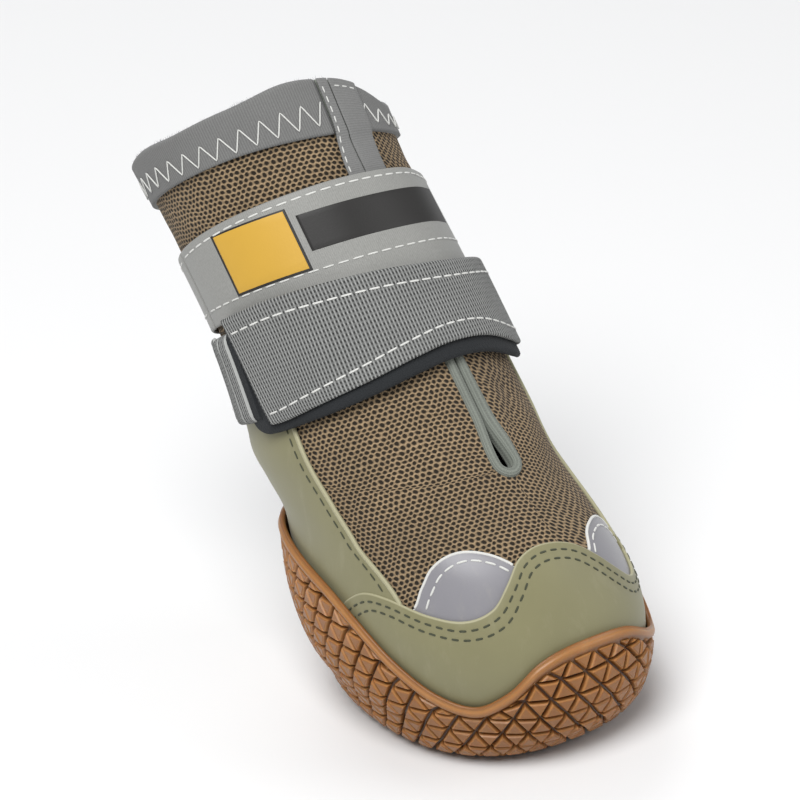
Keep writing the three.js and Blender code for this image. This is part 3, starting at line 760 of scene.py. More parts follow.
@shared_group
def open_mesh(label):
    """Knitted mesh: rows of round holes, each row half a hole along from the last and the whole
    slightly slanted and uneven, between threads whose height falls towards the holes."""
    inputs = {"Vector": None, "Pitch": 0.00155, "Thread": WHITE, "Hole": WHITE}
    tree, source, sink = new_group(label, inputs, {"Colour": WHITE, "Height": 0.0})
    u, v = parts(tree, source["Vector"])
    shift = (noise(tree, source["Vector"], 260.0, 2.0) - 0.5) * 0.0013
    across = u + v * 0.14 + shift
    upwards = v + shift - u * 0.13
    row = upwards / (Value(source["Pitch"]) * 0.74)
    odd = row.math("FLOOR").math("FLOORED_MODULO", 2.0) * 0.5
    x = (across / source["Pitch"] + odd).math("FRACT") - 0.5
    y = (row.math("FRACT") - 0.5) * 0.8
    # solid is 0 in a hole, which takes the Hole colour as painted shade
    solid = ramp_between((x * x + y * y).math("SQRT"), 0.22, 0.42)
    twist = noise(tree, source["Vector"], 1900.0, 2.0)
    # random tone from the twist noise, and a painted highlight on the threads between the rows of holes,
    # growing with the distance from a row's middle
    light = twist * 1.5 + 0.05 + y.math("ABSOLUTE") * 1.3
    feed(sink["Colour"], mix_colour(solid, source["Hole"], lightened(tree, source["Thread"], light)))
    feed(sink["Height"], twist * 0.25 + solid)
    return tree


@shared_group
def weave(label):
    """Woven tape: ribs across its width as a cosine of the distance along it, crossed by finer weft, with
    painted shade between the ribs.
    """
    inputs = {"Vector": None, "Rib": 0.0008, "Weft": 0.0006, "Depth": 0.5, "Colour": WHITE}
    tree, source, sink = new_group(label, inputs, {"Colour": WHITE, "Height": 0.0})
    u, v = parts(tree, source["Vector"])
    rib = (u / source["Rib"] * math.tau).math("COSINE")
    weft = (v / source["Weft"] * math.tau).math("COSINE")
    height = rib * 0.5 + 0.5 + rib * weft * 0.22
    # painted shade: the colour is darkened between the ribs, as much as Depth says
    dark = (height * -1.0 + 1.0) * source["Depth"]
    light = noise(tree, source["Vector"], 2200.0, 2.0) * 0.35 + 0.9 - dark
    feed(sink["Colour"], lightened(tree, source["Colour"], light))
    feed(sink["Height"], height)
    return tree


@shared_group
def wear(label):
    """Scuffs and dust: a mask of sparse streaks from stretched noise, which lightens the colour."""
    inputs = {"Vector": None, "Amount": 0.2, "Colour": WHITE, "Dust": WHITE}
    tree, source, sink = new_group(label, inputs, {"Colour": WHITE, "Roughness shift": 0.0})
    stretched = node(tree, "ShaderNodeMapping", Vector=source["Vector"], Scale=(1, 1, 0.35)).outputs[0]
    mask = ramp_between(noise(tree, stretched, 160.0, 6.0, 0.7), 0.52, 0.75) * source["Amount"]
    feed(sink["Colour"], mix_colour(mask, source["Colour"], source["Dust"]))
    feed(sink["Roughness shift"], mask * 0.3)
    return tree


def material(label, roughness, sheen, specular):
    """A new material with its tree, the inputs of its principled shader and its coordinates."""
    made = bpy.data.materials.new(label)
    made.use_nodes = True
    tree = made.node_tree
    shader = next(n for n in tree.nodes if n.type == "BSDF_PRINCIPLED").inputs
    feed(shader["Roughness"], roughness)
    feed(shader["Sheen Weight"], sheen)
    feed(shader["Sheen Roughness"], 0.6)
    feed(shader["Specular IOR Level"], specular)
    return made, tree, shader, tree.nodes.new("ShaderNodeTexCoord").outputs


def bump(tree, shader, height, strength, distance):
    """A Bump node between a height and the shader's normal."""
    made = node(tree, "ShaderNodeBump", Strength=strength, Distance=distance, Height=height)
    feed(shader["Normal"], made.outputs[0])


def attribute(tree, name):
    """A mesh attribute's value."""
    made = tree.nodes.new("ShaderNodeAttribute")
    made.attribute_name = name
    return Value(made.outputs["Fac"])


def rubber_material(settings):
    """Gum rubber with painted shade, darker down in its grooves and inside the cup where its attribute proud
    is under 1, and a painted highlight where proud is over 1.
    """

    def build(label):
        made, tree, shader, spot = material(label, 0.4, 0.0, 0.45)
        base = place(
            tree, grain(), Vector=spot["Object"], Scale=900.0, Mottling=0.22, Colour=settings.rubber
        )
        proud = attribute(tree, "proud")
        # painted shade: towards the dark rubber where proud is under 1
        tone = mix_colour(proud, settings.rubber_dark, base["Colour"])
        # painted highlight: towards the light rubber where proud is over 1
        tone = mix_colour(proud - 1.0, tone, settings.rubber_edge)
        worn = place(tree, wear(), Vector=spot["Object"], Amount=0.12, Colour=tone, Dust=(0.62, 0.36, 0.16))
        feed(shader["Base Color"], worn["Colour"])
        feed(shader["Roughness"], Value(worn["Roughness shift"]) + 0.4)
        feed(shader["Subsurface Weight"], 0.18)
        feed(shader["Subsurface Radius"], (0.004, 0.0015, 0.0006))
        feed(shader["Subsurface Scale"], 0.5)
        bump(tree, shader, base["Height"], 0.12, 0.0002)
        return made

    return once(bpy.data.materials, "gum rubber", build)


def mesh_material(settings):
    """Knitted spacer mesh with painted shade in its holes outside and a plain dark inside."""

    def build(label):
        made, tree, shader, spot = material(label, 0.8, 0.05, 0.2)
        knit = place(
            tree, open_mesh(), Vector=spot["UV"], Pitch=settings.mesh_pitch,
            Thread=settings.mesh_light, Hole=settings.mesh_dark,
        )
        base = place(
            tree, grain(), Vector=spot["Object"], Scale=1200.0, Mottling=0.25, Colour=knit["Colour"]
        )
        outside = attribute(tree, "outside")
        feed(shader["Base Color"], mix_colour(outside, (0.05, 0.045, 0.035), base["Colour"]))
        bump(tree, shader, knit["Height"], 0.8, 0.0005)
        return made

    return once(bpy.data.materials, "spacer mesh", build)


def synthetic_material(name, base_colour, edge_colour, roughness=0.5, edge_mm=0.45):
    """Smooth synthetic with a lighter cut edge, some scuffs and dust."""

    def build(label):
        made, tree, shader, spot = material(label, roughness, 0.1, 0.4)
        base = place(tree, grain(), Vector=spot["Object"], Scale=3000.0, Mottling=0.09, Colour=base_colour)
        worn = place(
            tree, wear(), Vector=spot["Object"], Amount=0.10, Colour=base["Colour"], Dust=(0.50, 0.47, 0.36)
        )
        near = ramp_between(attribute(tree, "to_edge"), edge_mm, edge_mm * 0.4)
        feed(shader["Base Color"], mix_colour(near, worn["Colour"], edge_colour))
        feed(shader["Roughness"], Value(base["Roughness shift"]) + roughness)
        bump(tree, shader, base["Height"], 0.10, 0.00015)
        return made

    return once(bpy.data.materials, name, build)


def woven_material(name, tone, rib, weft, depth, strength, roughness=0.75, sheen=0.08, mottling=0.12):
    """Woven tape with ribs of a pitch, painted shade of a depth between them, and a bump of a strength."""

    def build(label):
        made, tree, shader, spot = material(label, roughness, sheen, 0.3)
        ribs = place(tree, weave(), Vector=spot["UV"], Rib=rib, Weft=weft, Depth=depth, Colour=tone)
        base = place(
            tree, grain(), Vector=spot["Object"], Scale=1500.0, Mottling=mottling, Colour=ribs["Colour"]
        )
        feed(shader["Base Color"], base["Colour"])
        bump(tree, shader, ribs["Height"], strength, 0.0003)
        return made

    return once(bpy.data.materials, name, build)


def plain_material(name, tone, roughness, sheen, scale=1800.0, mottling=0.1, bumpiness=0.25):
    """One colour with a fine grain."""

    def build(label):
        made, tree, shader, spot = material(label, roughness, sheen, 0.35)
        base = place(tree, grain(), Vector=spot["Object"], Scale=scale, Mottling=mottling, Colour=tone)
        feed(shader["Base Color"], base["Colour"])
        bump(tree, shader, base["Height"], bumpiness, 0.0003)
        return made

    return once(bpy.data.materials, name, build)


def finish_piece(obj, made, slot, *replaced):
    """Gives a piece its material and its place in the boot."""
    obj.data.materials.append(made)
    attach(obj, "root")
    if replaced:
        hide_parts(*replaced)


# ---- the sole ----


WALL_ROWS = 9  # rows of the wall's own points, from its foot to the rim
SOLE_SAMPLES = 90  # points of the sole's outside from the flat to the rim
GIRTH_SAMPLE = 30  # the one along which distances round the sole are measured


def sole_profile(turns, samples):
    """Outside of the sole for each turn, from the flat of the bottom, round the edge and up to the
    rim, as points at equal distances, and the distance to the rim. Three passes of a 1-2-1 mean round
    off its corners."""
    rim_level = rim_level_at(turns)
    edge = skin(WALL_FOOT, turns, SOLE_INSIDE + FOOT_WALL)
    spring = np.where(edge[:, 1] < 0, TOE_SPRING, HEEL_SPRING) * np.abs(np.cos(np.radians(turns))) ** 4
    rows = []
    for share, height, lift in BOTTOM_EDGE:
        rows.append(np.stack([edge[:, 0] * share, edge[:, 1] * share, height + spring * lift], -1))
    for share in np.linspace(0, 1, WALL_ROWS):
        level = WALL_START + (rim_level - WALL_START) * share
        rows.append(skin(level, turns, wall_outside(level, rim_level)))
    path = np.stack(rows, 1)
    steps = np.linalg.norm(np.diff(path, axis=1), axis=2)
    run = np.concatenate([np.zeros((len(turns), 1)), np.cumsum(steps, 1)], 1)
    total = run[:, -1]
    out = np.empty((len(turns), samples, 3))
    for i in range(len(turns)):
        wanted = np.linspace(0, 1, samples) * total[i]
        for axis in range(3):
            out[i, :, axis] = np.interp(wanted, run[i], path[i, :, axis])
    for _ in range(3):
        out[:, 1:-1] = (out[:, :-2] + 2 * out[:, 1:-1] + out[:, 2:]) / 4
    return out, total


class SoleSurface:
    """The sole's outside as a table over turn and distance from the flat of the bottom, read by
    straight lines between its entries."""

    def __init__(self):
        self.turns = np.arange(0, 360, 1.0)
        self.points, self.total = sole_profile(self.turns, SOLE_SAMPLES)
        round_ = np.roll(self.points, -1, 0) - np.roll(self.points, 1, 0)
        up = np.gradient(self.points, axis=1)
        self.normals = unit(np.cross(up, round_))
        girth = self.points[:, GIRTH_SAMPLE]
        steps = np.linalg.norm(np.roll(girth, -1, 0) - girth, axis=1)
        self.round = np.concatenate([[0], np.cumsum(steps)])
        self.perimeter = self.round[-1]

    def turn_at(self, distance):
        """Turn at a distance round the sole from the toe."""
        return np.interp(distance % self.perimeter, self.round, np.append(self.turns, 360.0))

    def length_at(self, turn):
        """Distance from the flat to the rim at a turn."""
        return np.interp(turn % 360, np.append(self.turns, 360.0), np.append(self.total, self.total[0]))

    def at(self, turn, distance, depth):
        """Point below the surface by depth."""
        count, samples = self.points.shape[:2]
        a = (turn % 360) / 360 * count
        b = np.clip(distance / self.length_at(turn), 0, 1) * (samples - 1)
        i, j = np.floor(a).astype(int), np.minimum(np.floor(b).astype(int), samples - 2)
        p, q = (a - i)[..., None], (b - j)[..., None]
        i, i2 = i % count, (i + 1) % count

        def read(table):
            low = table[i, j] * (1 - q) + table[i, j + 1] * q
            high = table[i2, j] * (1 - q) + table[i2, j + 1] * q
            return low * (1 - p) + high * p

        return read(self.points) - unit(read(self.normals)) * np.asarray(depth)[..., None]


FLAT_REACH = 30.0  # usual distance from the middle of the bottom to the edge of its flat
LATTICE_REACH = 50.0  # how far from the middle the lattice of lugs is laid
LUGS_REACH = 1.075  # share of the flat's outline that the lugs under the sole may come to


def bottom_place(x, y, surface):
    """Turn of a place on the bottom, and its distance from the middle as a share of the distance to
    the edge of the flat."""
    turn = np.degrees(np.arctan2(-x, -y)) % 360
    flat = surface.at(turn, 0.0, 0.0)
    return turn, np.hypot(x, y) / np.hypot(flat[..., 0], flat[..., 1])


def triangle_lattice(pitch, reach):
    """Middles of the triangles of a lattice with one upward triangle's middle at the origin, and +1
    or -1 as each points up or down."""
    row = pitch * math.sqrt(3) / 2
    n = int(reach / pitch) + 2
    i, j = np.meshgrid(np.arange(-n, n + 1), np.arange(-n, n + 1), indexing="ij")
    x = i * pitch + j * pitch / 2
    y = j * row
    up = np.stack([x.ravel(), y.ravel(), np.ones(x.size)], -1)
    down = np.stack([x.ravel() + pitch / 2, y.ravel() + pitch / (2 * math.sqrt(3)), -np.ones(x.size)], -1)
    return np.vstack([up, down])


# rings of a lug from its foot up: share of the groove's width taken off each side, share of the
# groove's depth below the tread, and shade (0 dark, 1 rubber, 2 light)
# the shade of each ring is painted shade and highlight on the rubber, read through the attribute proud: dark
# at the lug's foot, lighter at the edge of its top
LUG_RINGS = ((0.10, 1.0, 0.15), (0.42, 0.22, 1.6), (0.62, 0.0, 1.05))


def lug_mesh(name, corners, settings, to_point):
    """Flat-faced frustums on triangles. to_point turns a place on the sole and a depth into a point.
    The last ring of each is closed by one triangle."""
    groove, depth = settings.groove / MM, settings.groove_depth / MM
    rings = [to_point(inset_triangle(corners, cut * groove), sunk * depth) for cut, sunk, _ in LUG_RINGS]
    points = np.stack(rings, 1)
    count, size = len(points), 3 * len(rings)
    quads, _ = grid_faces(len(rings), 3, close_columns=True)
    tops = np.array([[size - 3, size - 2, size - 1]])
    # the attribute proud carries the rings' painted shade and highlight
    shade = np.broadcast_to([[[ring[2]] for ring in LUG_RINGS]], (count, len(rings), 3))
    faces = repeated(quads, count, size), repeated(tops, count, size)
    lugs = mesh_object(name, points, *faces, attributes=[("proud", shade)], smooth=False)
    return merge_and_face_out(lugs, FINE)


def inset_triangle(corners, distance):
    """Each side of a triangle moved inwards by a distance."""
    middle = corners.mean(1, keepdims=True)
    sides = np.linalg.norm(np.roll(corners, -1, 1) - corners, axis=-1).sum(1)
    a, b = corners[:, 1] - corners[:, 0], corners[:, 2] - corners[:, 0]
    area = np.abs(a[:, 0] * b[:, 1] - a[:, 1] * b[:, 0]) / 2
    inner = 2 * area / np.maximum(sides, 1e-6)
    share = np.clip(1 - distance / np.maximum(inner, 1e-6), 0.02, 1)
    return middle + (corners - middle) * share[:, None, None]


def bottom_lugs(settings, surface):
    """Triangular lugs on the flat of the bottom, in line with the solid's grooves."""
    pitch = settings.lug_pitch / MM
    middles = triangle_lattice(pitch, LATTICE_REACH)
    angle = np.radians(np.array([90, 210, 330]))
    spokes = pitch / math.sqrt(3) * np.stack([np.cos(angle), np.sin(angle)], -1)
    corners = middles[:, None, :2] + middles[:, None, 2:] * spokes
    _, share = bottom_place(corners[..., 0], corners[..., 1], surface)
    corners = corners[(share < LUGS_REACH).all(1)]

    def to_point(places, drop):
        turn, share = bottom_place(places[..., 0], places[..., 1], surface)
        edge = surface.at(turn, np.maximum(share - 1, 0) * FLAT_REACH, 0.0)
        z = np.where(share > 1, edge[..., 2], 0.0) + drop
        return np.stack([places[..., 0], places[..., 1], z], -1)

    return lug_mesh("tread_lugs", corners, settings, to_point)


WALL_LUG_START = 2.0  # distance of the lowest row of wall lugs from the flat of the bottom
LEAST_LUG = 0.38  # lugs cut lower than this share of a row are left out
# corners of an upward and of a downward lug of a row, as pitches along and rows up
WALL_UP = np.array([(0, 0), (1, 0), (0.5, 1)])
WALL_DOWN = np.array([(0.5, 1), (1, 0), (1.5, 1)])


def wall_lugs(settings, surface):
    """Rows of alternating triangles round the wall, cut short under the lip."""
    row, lip = settings.row_height / MM, settings.lip / MM
    around = int(round(surface.perimeter / (settings.wall_pitch / MM)))
    pitch = surface.perimeter / around
    most = int((surface.total.max() - WALL_LUG_START) / row) + 1
    r, j = (a.ravel() for a in np.meshgrid(np.arange(most), np.arange(around), indexing="ij"))
    starts = np.stack([j + r % 2 / 2, r], -1)[:, None]
    corners = np.vstack([starts + WALL_UP, starts + WALL_DOWN])
    corners = corners * (pitch, row) + (0, WALL_LUG_START)
    limit = surface.length_at(surface.turn_at(corners[..., 0])) - lip
    corners[..., 1] = np.minimum(corners[..., 1], limit)
    corners = corners[np.ptp(corners[..., 1], 1) > LEAST_LUG * row]

    def to_point(places, drop):
        return surface.at(surface.turn_at(places[..., 0]), places[..., 1], drop)

    return lug_mesh("wall_lugs", corners, settings, to_point)


# rings of the cup. Middle of the bottom: share of the flat's outline
CUP_MIDDLE = (0.04, 0.35, 0.7, 0.95)
# lip: share of its height, depth below the tread, shade
# a shade over 1 is a painted highlight on the rounded lip
CUP_LIP = ((0.25, -0.12, 1.1), (0.6, -0.2, 1.3), (0.85, 0.05, 1.45), (1.0, 0.5, 1.3))
# rim: distance from the cup's inside, levels above the rim
CUP_RIM = ((RIM_WALL - 0.35, 0.03), (0.55, 0.035), (0.1, 0.015), (-0.1, -0.02))
# inside of the wall: share of the rim's level; floor: share of its outline
CUP_INSIDE = (0.93, 0.8, 0.6, 0.4, 0.2, 0.0)
CUP_FLOOR = (1.0, 0.6, 0.03)
# LIP_SHADE is painted shade: below LIP_SHARE the wall is drawn fully dark, and from there lighter
LIP_SHARE, LIP_SHADE, LIP_DEPTH = 0.95, 0.6, 0.1  # where the wall lightens, and how far it stays sunk


def sole_cup(settings, surface):
    """The cup that the lugs stand on: from the middle of the bottom at groove depth, out and up the
    wall, over a rounded lip, down the inside and to the middle of the floor."""
    depth, lip = settings.groove_depth / MM, settings.lip / MM
    turns = np.arange(0, 360, 1.5)
    total = surface.length_at(turns)
    rings = []

    # each ring's shade goes to the attribute proud: painted shade under 1 down in the grooves, up the wall
    # below the lip and inside the cup, painted highlight over 1 on the lip
    def add(points, shade, height=None):
        rings.append((points if height is None else points * (1, 1, 0) + (0, 0, height), shade))

    for share in CUP_MIDDLE:
        add(surface.at(turns, 0.0, 0.0) * share, 0.0, depth)
    for share in np.linspace(0, 1, 26):
        sunk = depth if share < 1 else depth * LIP_DEPTH
        add(surface.at(turns, share * (total - lip), sunk), LIP_SHADE * (share >= LIP_SHARE))
    for share, sunk, shade in CUP_LIP:
        add(surface.at(turns, total - lip * (1 - share), sunk), shade)
    rim_level = rim_level_at(turns)
    for offset, lift in CUP_RIM:
        add(skin(rim_level + lift, turns, SOLE_INSIDE + offset), 1.0)
    for share in CUP_INSIDE:
        add(skin(rim_level * share, turns, SOLE_INSIDE), 0.3)
    for share in CUP_FLOOR:
        add(skin(0.0, turns, SOLE_INSIDE) * share, 0.2, SOLE_FLOOR)
    points = np.stack([ring[0] for ring in rings])
    shades = np.repeat([ring[1] for ring in rings], len(turns))
    return loop_solid("sole_cup", points, attributes=[("proud", shades)])


class BOOT_OT_sole(bpy.types.Operator):
    """Builds the rubber cup, its lip and its triangular lugs"""

    bl_idname = "boot.sole"
    bl_label = "Rubber sole"

    def execute(self, context):
        settings = context.scene.boot.sole
        surface = SoleSurface()
        rubber = rubber_material(settings)
        finish_piece(sole_cup(settings, surface), rubber, "gum_rubber", "outsole")
        for lugs in (bottom_lugs, wall_lugs):
            finish_piece(lugs(settings, surface), rubber, "gum_rubber")
        return {"FINISHED"}


# ---- the upper ----


SLIT_CLEAR = 0.45  # how far the mesh stays back from the slit's edge, inside the binding


def upper_points(columns, levels, offset):
    """Grid over the upper. At each level the turns run from one side of the slit right round to the
    other. Below the slit they meet, and at its low end they part as half a circle."""
    scale = throat_scale()
    low = SLIT_LOW - SLIT_HALF_LOW / scale
    rise = np.clip((levels - low) * scale, 0, None)
    round_end = SLIT_HALF_LOW - np.minimum(rise, SLIT_HALF_LOW)
    bow = np.sqrt(np.clip(SLIT_HALF_LOW**2 - round_end**2, 0, None))
    half = np.where(rise < SLIT_HALF_LOW, bow, slit_half(levels)) + SLIT_CLEAR * smoothstep(rise, 0, 1)
    half = np.where(rise <= 0, 0, across_turn(half, levels))[:, None]
    turn = slit_turn(levels)[:, None] + half + np.linspace(0, 1, columns) * (360 - 2 * half)
    level = np.repeat(levels[:, None], columns, 1)
    return skin(level, turn, offset + creases(level, turn)), level, turn


# levels between which the upper's rows are close, round the slit's low end, and rows below, in and above
CLOSE_ROWS = (3.9, 4.6)
UPPER_ROWS = (60, 24, 96)
UPPER_COLUMNS = 300
MESH_START = 130.0  # distance of the collar edge from the start of the mesh pattern, in millimetres


def upper_shell(settings):
    """Two layers of spacer mesh joined along the top and the bottom edge. The edges of the slit are
    left to the rolled binding, which closes over them."""
    (start, stop), (below, within, above) = CLOSE_ROWS, UPPER_ROWS
    spans = np.linspace(0, start, below, endpoint=False), np.linspace(start, stop, within, endpoint=False)
    levels = np.concatenate([*spans, np.linspace(stop, TOP, above)])
    outside, level, turn = upper_points(UPPER_COLUMNS, levels, 0.0)
    inside, _, _ = upper_points(UPPER_COLUMNS, levels, -settings.wall / MM)
    quads, cells = grid_faces(2 * len(levels), UPPER_COLUMNS, close_rows=True)
    length_up = np.linalg.norm(np.diff(outside, axis=0), axis=2)
    height = np.vstack([np.zeros((1, UPPER_COLUMNS)), np.cumsum(length_up, 0)])
    v = height - height[-1:] + MESH_START
    u = np.radians(turn - slit_turn(level)) * section_at(level)[..., 4]
    there_and_back = (np.vstack([grid, grid[::-1], grid[:1]]) for grid in (u, v))
    face_side = np.repeat([1.0, 0.0], outside.shape[0] * outside.shape[1])
    points = np.vstack([outside, inside[::-1]])
    uv = grid_uv(cells, *there_and_back)
    return merge_and_face_out(mesh_object("upper_shell", points, quads, (), uv, [("outside", face_side)]))


class BOOT_OT_upper(bpy.types.Operator):
    """Builds the hollow mesh upper with its soft folds and its slit"""

    bl_idname = "boot.upper"
    bl_label = "Mesh upper"

    def execute(self, context):
        fabric = context.scene.boot.fabric
        finish_piece(upper_shell(fabric), mesh_material(fabric), "spacer_mesh", "upper")
        return {"FINISHED"}


# ---- the synthetic overlays ----


# signed turns and levels of the overlays' ends, and their undersides' distances from the last
RAND_HALF, RAND_FOOT, RAND_UNDER = 92.0, 0.9, 0.35
COUNTER_FRONT, COUNTER_FOOT, COUNTER_TOP, COUNTER_UNDER = 70.0, 0.9, 6.35, 0.05
GLUE = 0.07  # added to the overlays' thickness
COUNTER_FLARE = 11.0  # degrees that the counter's front edges run forward at their low ends
PATCH_HIDDEN = 0.16  # levels of the patches that lie behind the rand


def counter_front(level, turn):
    """Turn of a point of the counter, whose front edges run forward at their low ends."""
    flare = COUNTER_FLARE * (1 - smoothstep(level, 2.4, 3.3))
    ahead = 1 - smoothstep(from_toe(turn), COUNTER_FRONT, COUNTER_FRONT + 25)
    return turn - np.sign(signed(turn)) * flare * ahead


class BOOT_OT_overlays(bpy.types.Operator):
    """Builds the toe rand, the heel counter and the half-oval patches"""

    bl_idname = "boot.overlays"
    bl_label = "Rand, counter and patches"

    def execute(self, context):
        leather = context.scene.boot.leather
        khaki = synthetic_material("khaki synthetic", leather.khaki, leather.cut_edge)
        silver = synthetic_material("silver patch", leather.silver, (0.66, 0.66, 0.66), 0.38, 0.3)
        thick = leather.thickness / MM + GLUE
        turns = np.linspace(-RAND_HALF, RAND_HALF, 260)
        rand = tape("rand", turns, RAND_FOOT, rand_edge(turns), RAND_UNDER, RAND_UNDER + thick, 26)
        finish_piece(rand, khaki, "khaki_synthetic", "toe_rand")
        turns = np.linspace(COUNTER_FRONT, 360 - COUNTER_FRONT, 240)
        inner, outer = COUNTER_UNDER, COUNTER_UNDER + thick
        counter = tape("counter", turns, COUNTER_FOOT, COUNTER_TOP, inner, outer, 44, counter_front)
        finish_piece(counter, khaki, "khaki_synthetic", "heel_counter")
        for side, table in PATCHES.items():
            turns = np.linspace(table[0, 0], table[-1, 0], 90)
            low = rand_edge(turns) - PATCH_HIDDEN
            top = np.maximum(smooth_at(table, turns), low + 0.02)
            patch = tape(f"patch_{side}", turns, low, top, 0.05, 0.38, 14)
            finish_piece(patch, silver, "khaki_synthetic")
        return {"FINISHED"}


# ---- collar and slit ----


COLLAR_LOW = 9.15  # level of the collar tape's lower edge
COLLAR_THICK = 1.05  # distance of the tape from the mesh on either side
COLLAR_CREST = 0.085  # levels that the fold stands over the top edge
COLLAR_RISE = 0.1  # levels that the lower edge is drawn up ahead of the side
COLLAR_SEAM = 0.3  # how far the tape runs on under the binding at the slit
COLLAR_GIRTH = 2 * math.pi * 29
TOP_EDGE = 0.06  # levels that binding, facings and fibres reach above the last section


def collar_tape(settings):
    """Tape folded over the top edge: up its outside, over in half an ellipse and down its inside. Its
    loose edges and its crest wave a little as sines of the turn."""
    wall = settings.wall / MM
    rows, steps = 16, 240
    top = TOP + 0.02
    up = np.linspace(COLLAR_LOW, top, rows)
    angle = np.radians(np.linspace(0, 180, 9)[1:-1])
    level = np.concatenate([up, top + COLLAR_CREST * np.sin(angle), up[::-1]])
    loose = np.concatenate([np.linspace(1, 0, rows), 0 * angle, np.linspace(0, 1, rows)])
    over = -wall / 2 + (wall / 2 + COLLAR_THICK) * np.cos(angle)
    offset = np.concatenate([np.full(rows, COLLAR_THICK), over, np.full(rows, -wall - COLLAR_THICK)])
    half = across_turn(SLIT_HALF_HIGH + settings.binding_width / MM - COLLAR_SEAM, level)
    turn = slit_turn(level) + half + np.linspace(0, 1, steps)[:, None] * (360 - 2 * half)
    level = level + COLLAR_RISE * loose * bell(turn, 45, 38)
    waves = 0.12 * np.sin(np.radians(turn * 7)) * smoothstep(level, 9.2, TOP)
    crest = 0.012 * np.sin(np.radians(turn * 9)) * (level > 9.9)
    rings = skin(level + crest, turn, offset + waves)
    u, v = wrapped(turn) * ROUND_MM, wrapped(level) * LEVEL_MM
    return loop_solid("collar_tape", rings, u, v, fold=rings.shape[1] - 1)


GAPE = 0.45  # how much further the binding is drawn apart at the slit's low end


def slit_path(margin, top, steps):
    """Path along both edges of the slit and round its low end, moved out by a margin: levels and
    distances across."""
    scale = throat_scale()
    up = np.linspace(SLIT_LOW, top, steps)[1:]
    side = slit_half(up) + margin + GAPE * (1 - smoothstep(up, SLIT_LOW, SLIT_CLOSED))
    angle = np.radians(np.linspace(0, 180, 19))
    radius = SLIT_HALF_LOW + margin + GAPE
    level = np.concatenate([up[::-1], SLIT_LOW - radius * np.sin(angle) / scale, up])
    across = np.concatenate([-side[::-1], -radius * np.cos(angle), side])
    return level, across


BINDING_BITE = 0.45  # how far the binding reaches over the slit's edge
BINDING_PROUD = 0.75  # how far it stands out from the mesh on either side
BINDING_BULGE = 0.8  # how much wider it is on the -X side just above the slit's low end


def squared(wave, power):
    """A sine or cosine bent towards a square wave: its size to a power, with its sign kept."""
    return np.sign(wave) * np.abs(wave) ** power


def rolled_binding(settings):
    """Folded edge of the slit: a flattened superellipse carried along both edges and round the low
    end, and bulging out on one side above it."""
    width, wall = settings.binding_width / MM, settings.wall / MM
    angle = np.radians(np.arange(0, 360, 18))
    across_share, height_share = squared(np.cos(angle), 0.5), squared(np.sin(angle), 0.55)
    margins = width / 2 - BINDING_BITE + width / 2 * across_share
    offsets = -wall / 2 + (wall / 2 + BINDING_PROUD) * height_share
    level, across = np.stack([slit_path(margin, TOP + TOP_EDGE, 120) for margin in margins], -1)
    bulge = smoothstep(level, 4.5, 4.9) * (1 - smoothstep(level, 4.9, 6.4)) * (across > 0)
    across = across + BINDING_BULGE * bulge * (0.5 + 0.5 * across_share)
    rings = beside_slit(level, across, offsets + 0 * level)
    steps = np.linalg.norm(np.diff(rings, axis=0), axis=2).mean(1)
    run = np.repeat(np.append(0, np.cumsum(steps))[:, None], len(angle) + 1, 1)
    girth = np.broadcast_to(np.linspace(0, 1, len(angle) + 1) * 2 * (width + 2), run.shape)
    return loop_solid("rolled_binding", rings, girth, run)


# name, side (-1 is -X), width at the foot and at the top
FACINGS = (("facing_left", -1, 4.2, 2.6), ("facing_right", 1, 6.0, 7.0))
FACING_LOW = 8.0  # level of a facing's foot, which the band covers
FACING_ROWS = 8
FACING_SEAM = 0.12  # distance of a facing's inner edge from the slit's centre line
FACING_THICK = 0.55


def facing_width(level, low_width, high_width):
    """Width of a facing in millimetres."""
    return low_width + (high_width - low_width) * smoothstep(level, 8.3, 9.6)


def facing_lift(level):
    """Height of a facing's underside over the last: on the binding, and higher over the collar tape."""
    return 0.75 + 0.55 * smoothstep(level, 9.0, 9.2)


def facing(name, side, low_width, high_width):
    """Flat facing beside the slit, over the collar tape: from the band up to the top edge, as wide as
    is said at each end. side is -1 towards -X and 1 towards +X."""
    s, o = tape_outline(FACING_ROWS, 0.12)
    level = np.linspace(FACING_LOW, TOP + TOP_EDGE, 30)[:, None]
    width = facing_width(level, low_width, high_width)
    across = side * (FACING_SEAM + (width - FACING_SEAM) * s)
    level = level + 0 * across
    rings = beside_slit(level, across, facing_lift(level) + FACING_THICK * o)
    u, v = wrapped(level) * LEVEL_MM, wrapped(across)
    return loop_solid(name, rings, u, v, fold=tape_fold(FACING_ROWS))


FIBRES = 900
FIBRE_SPREAD = 0.7  # how far from the mesh on either side the fibres have their roots
FIBRE_LONG = (0.35, 1.0)  # shortest and longest fibre
FIBRE_RADII = np.array([0.045, 0.04, 0.012])  # at the root, the middle and the tip


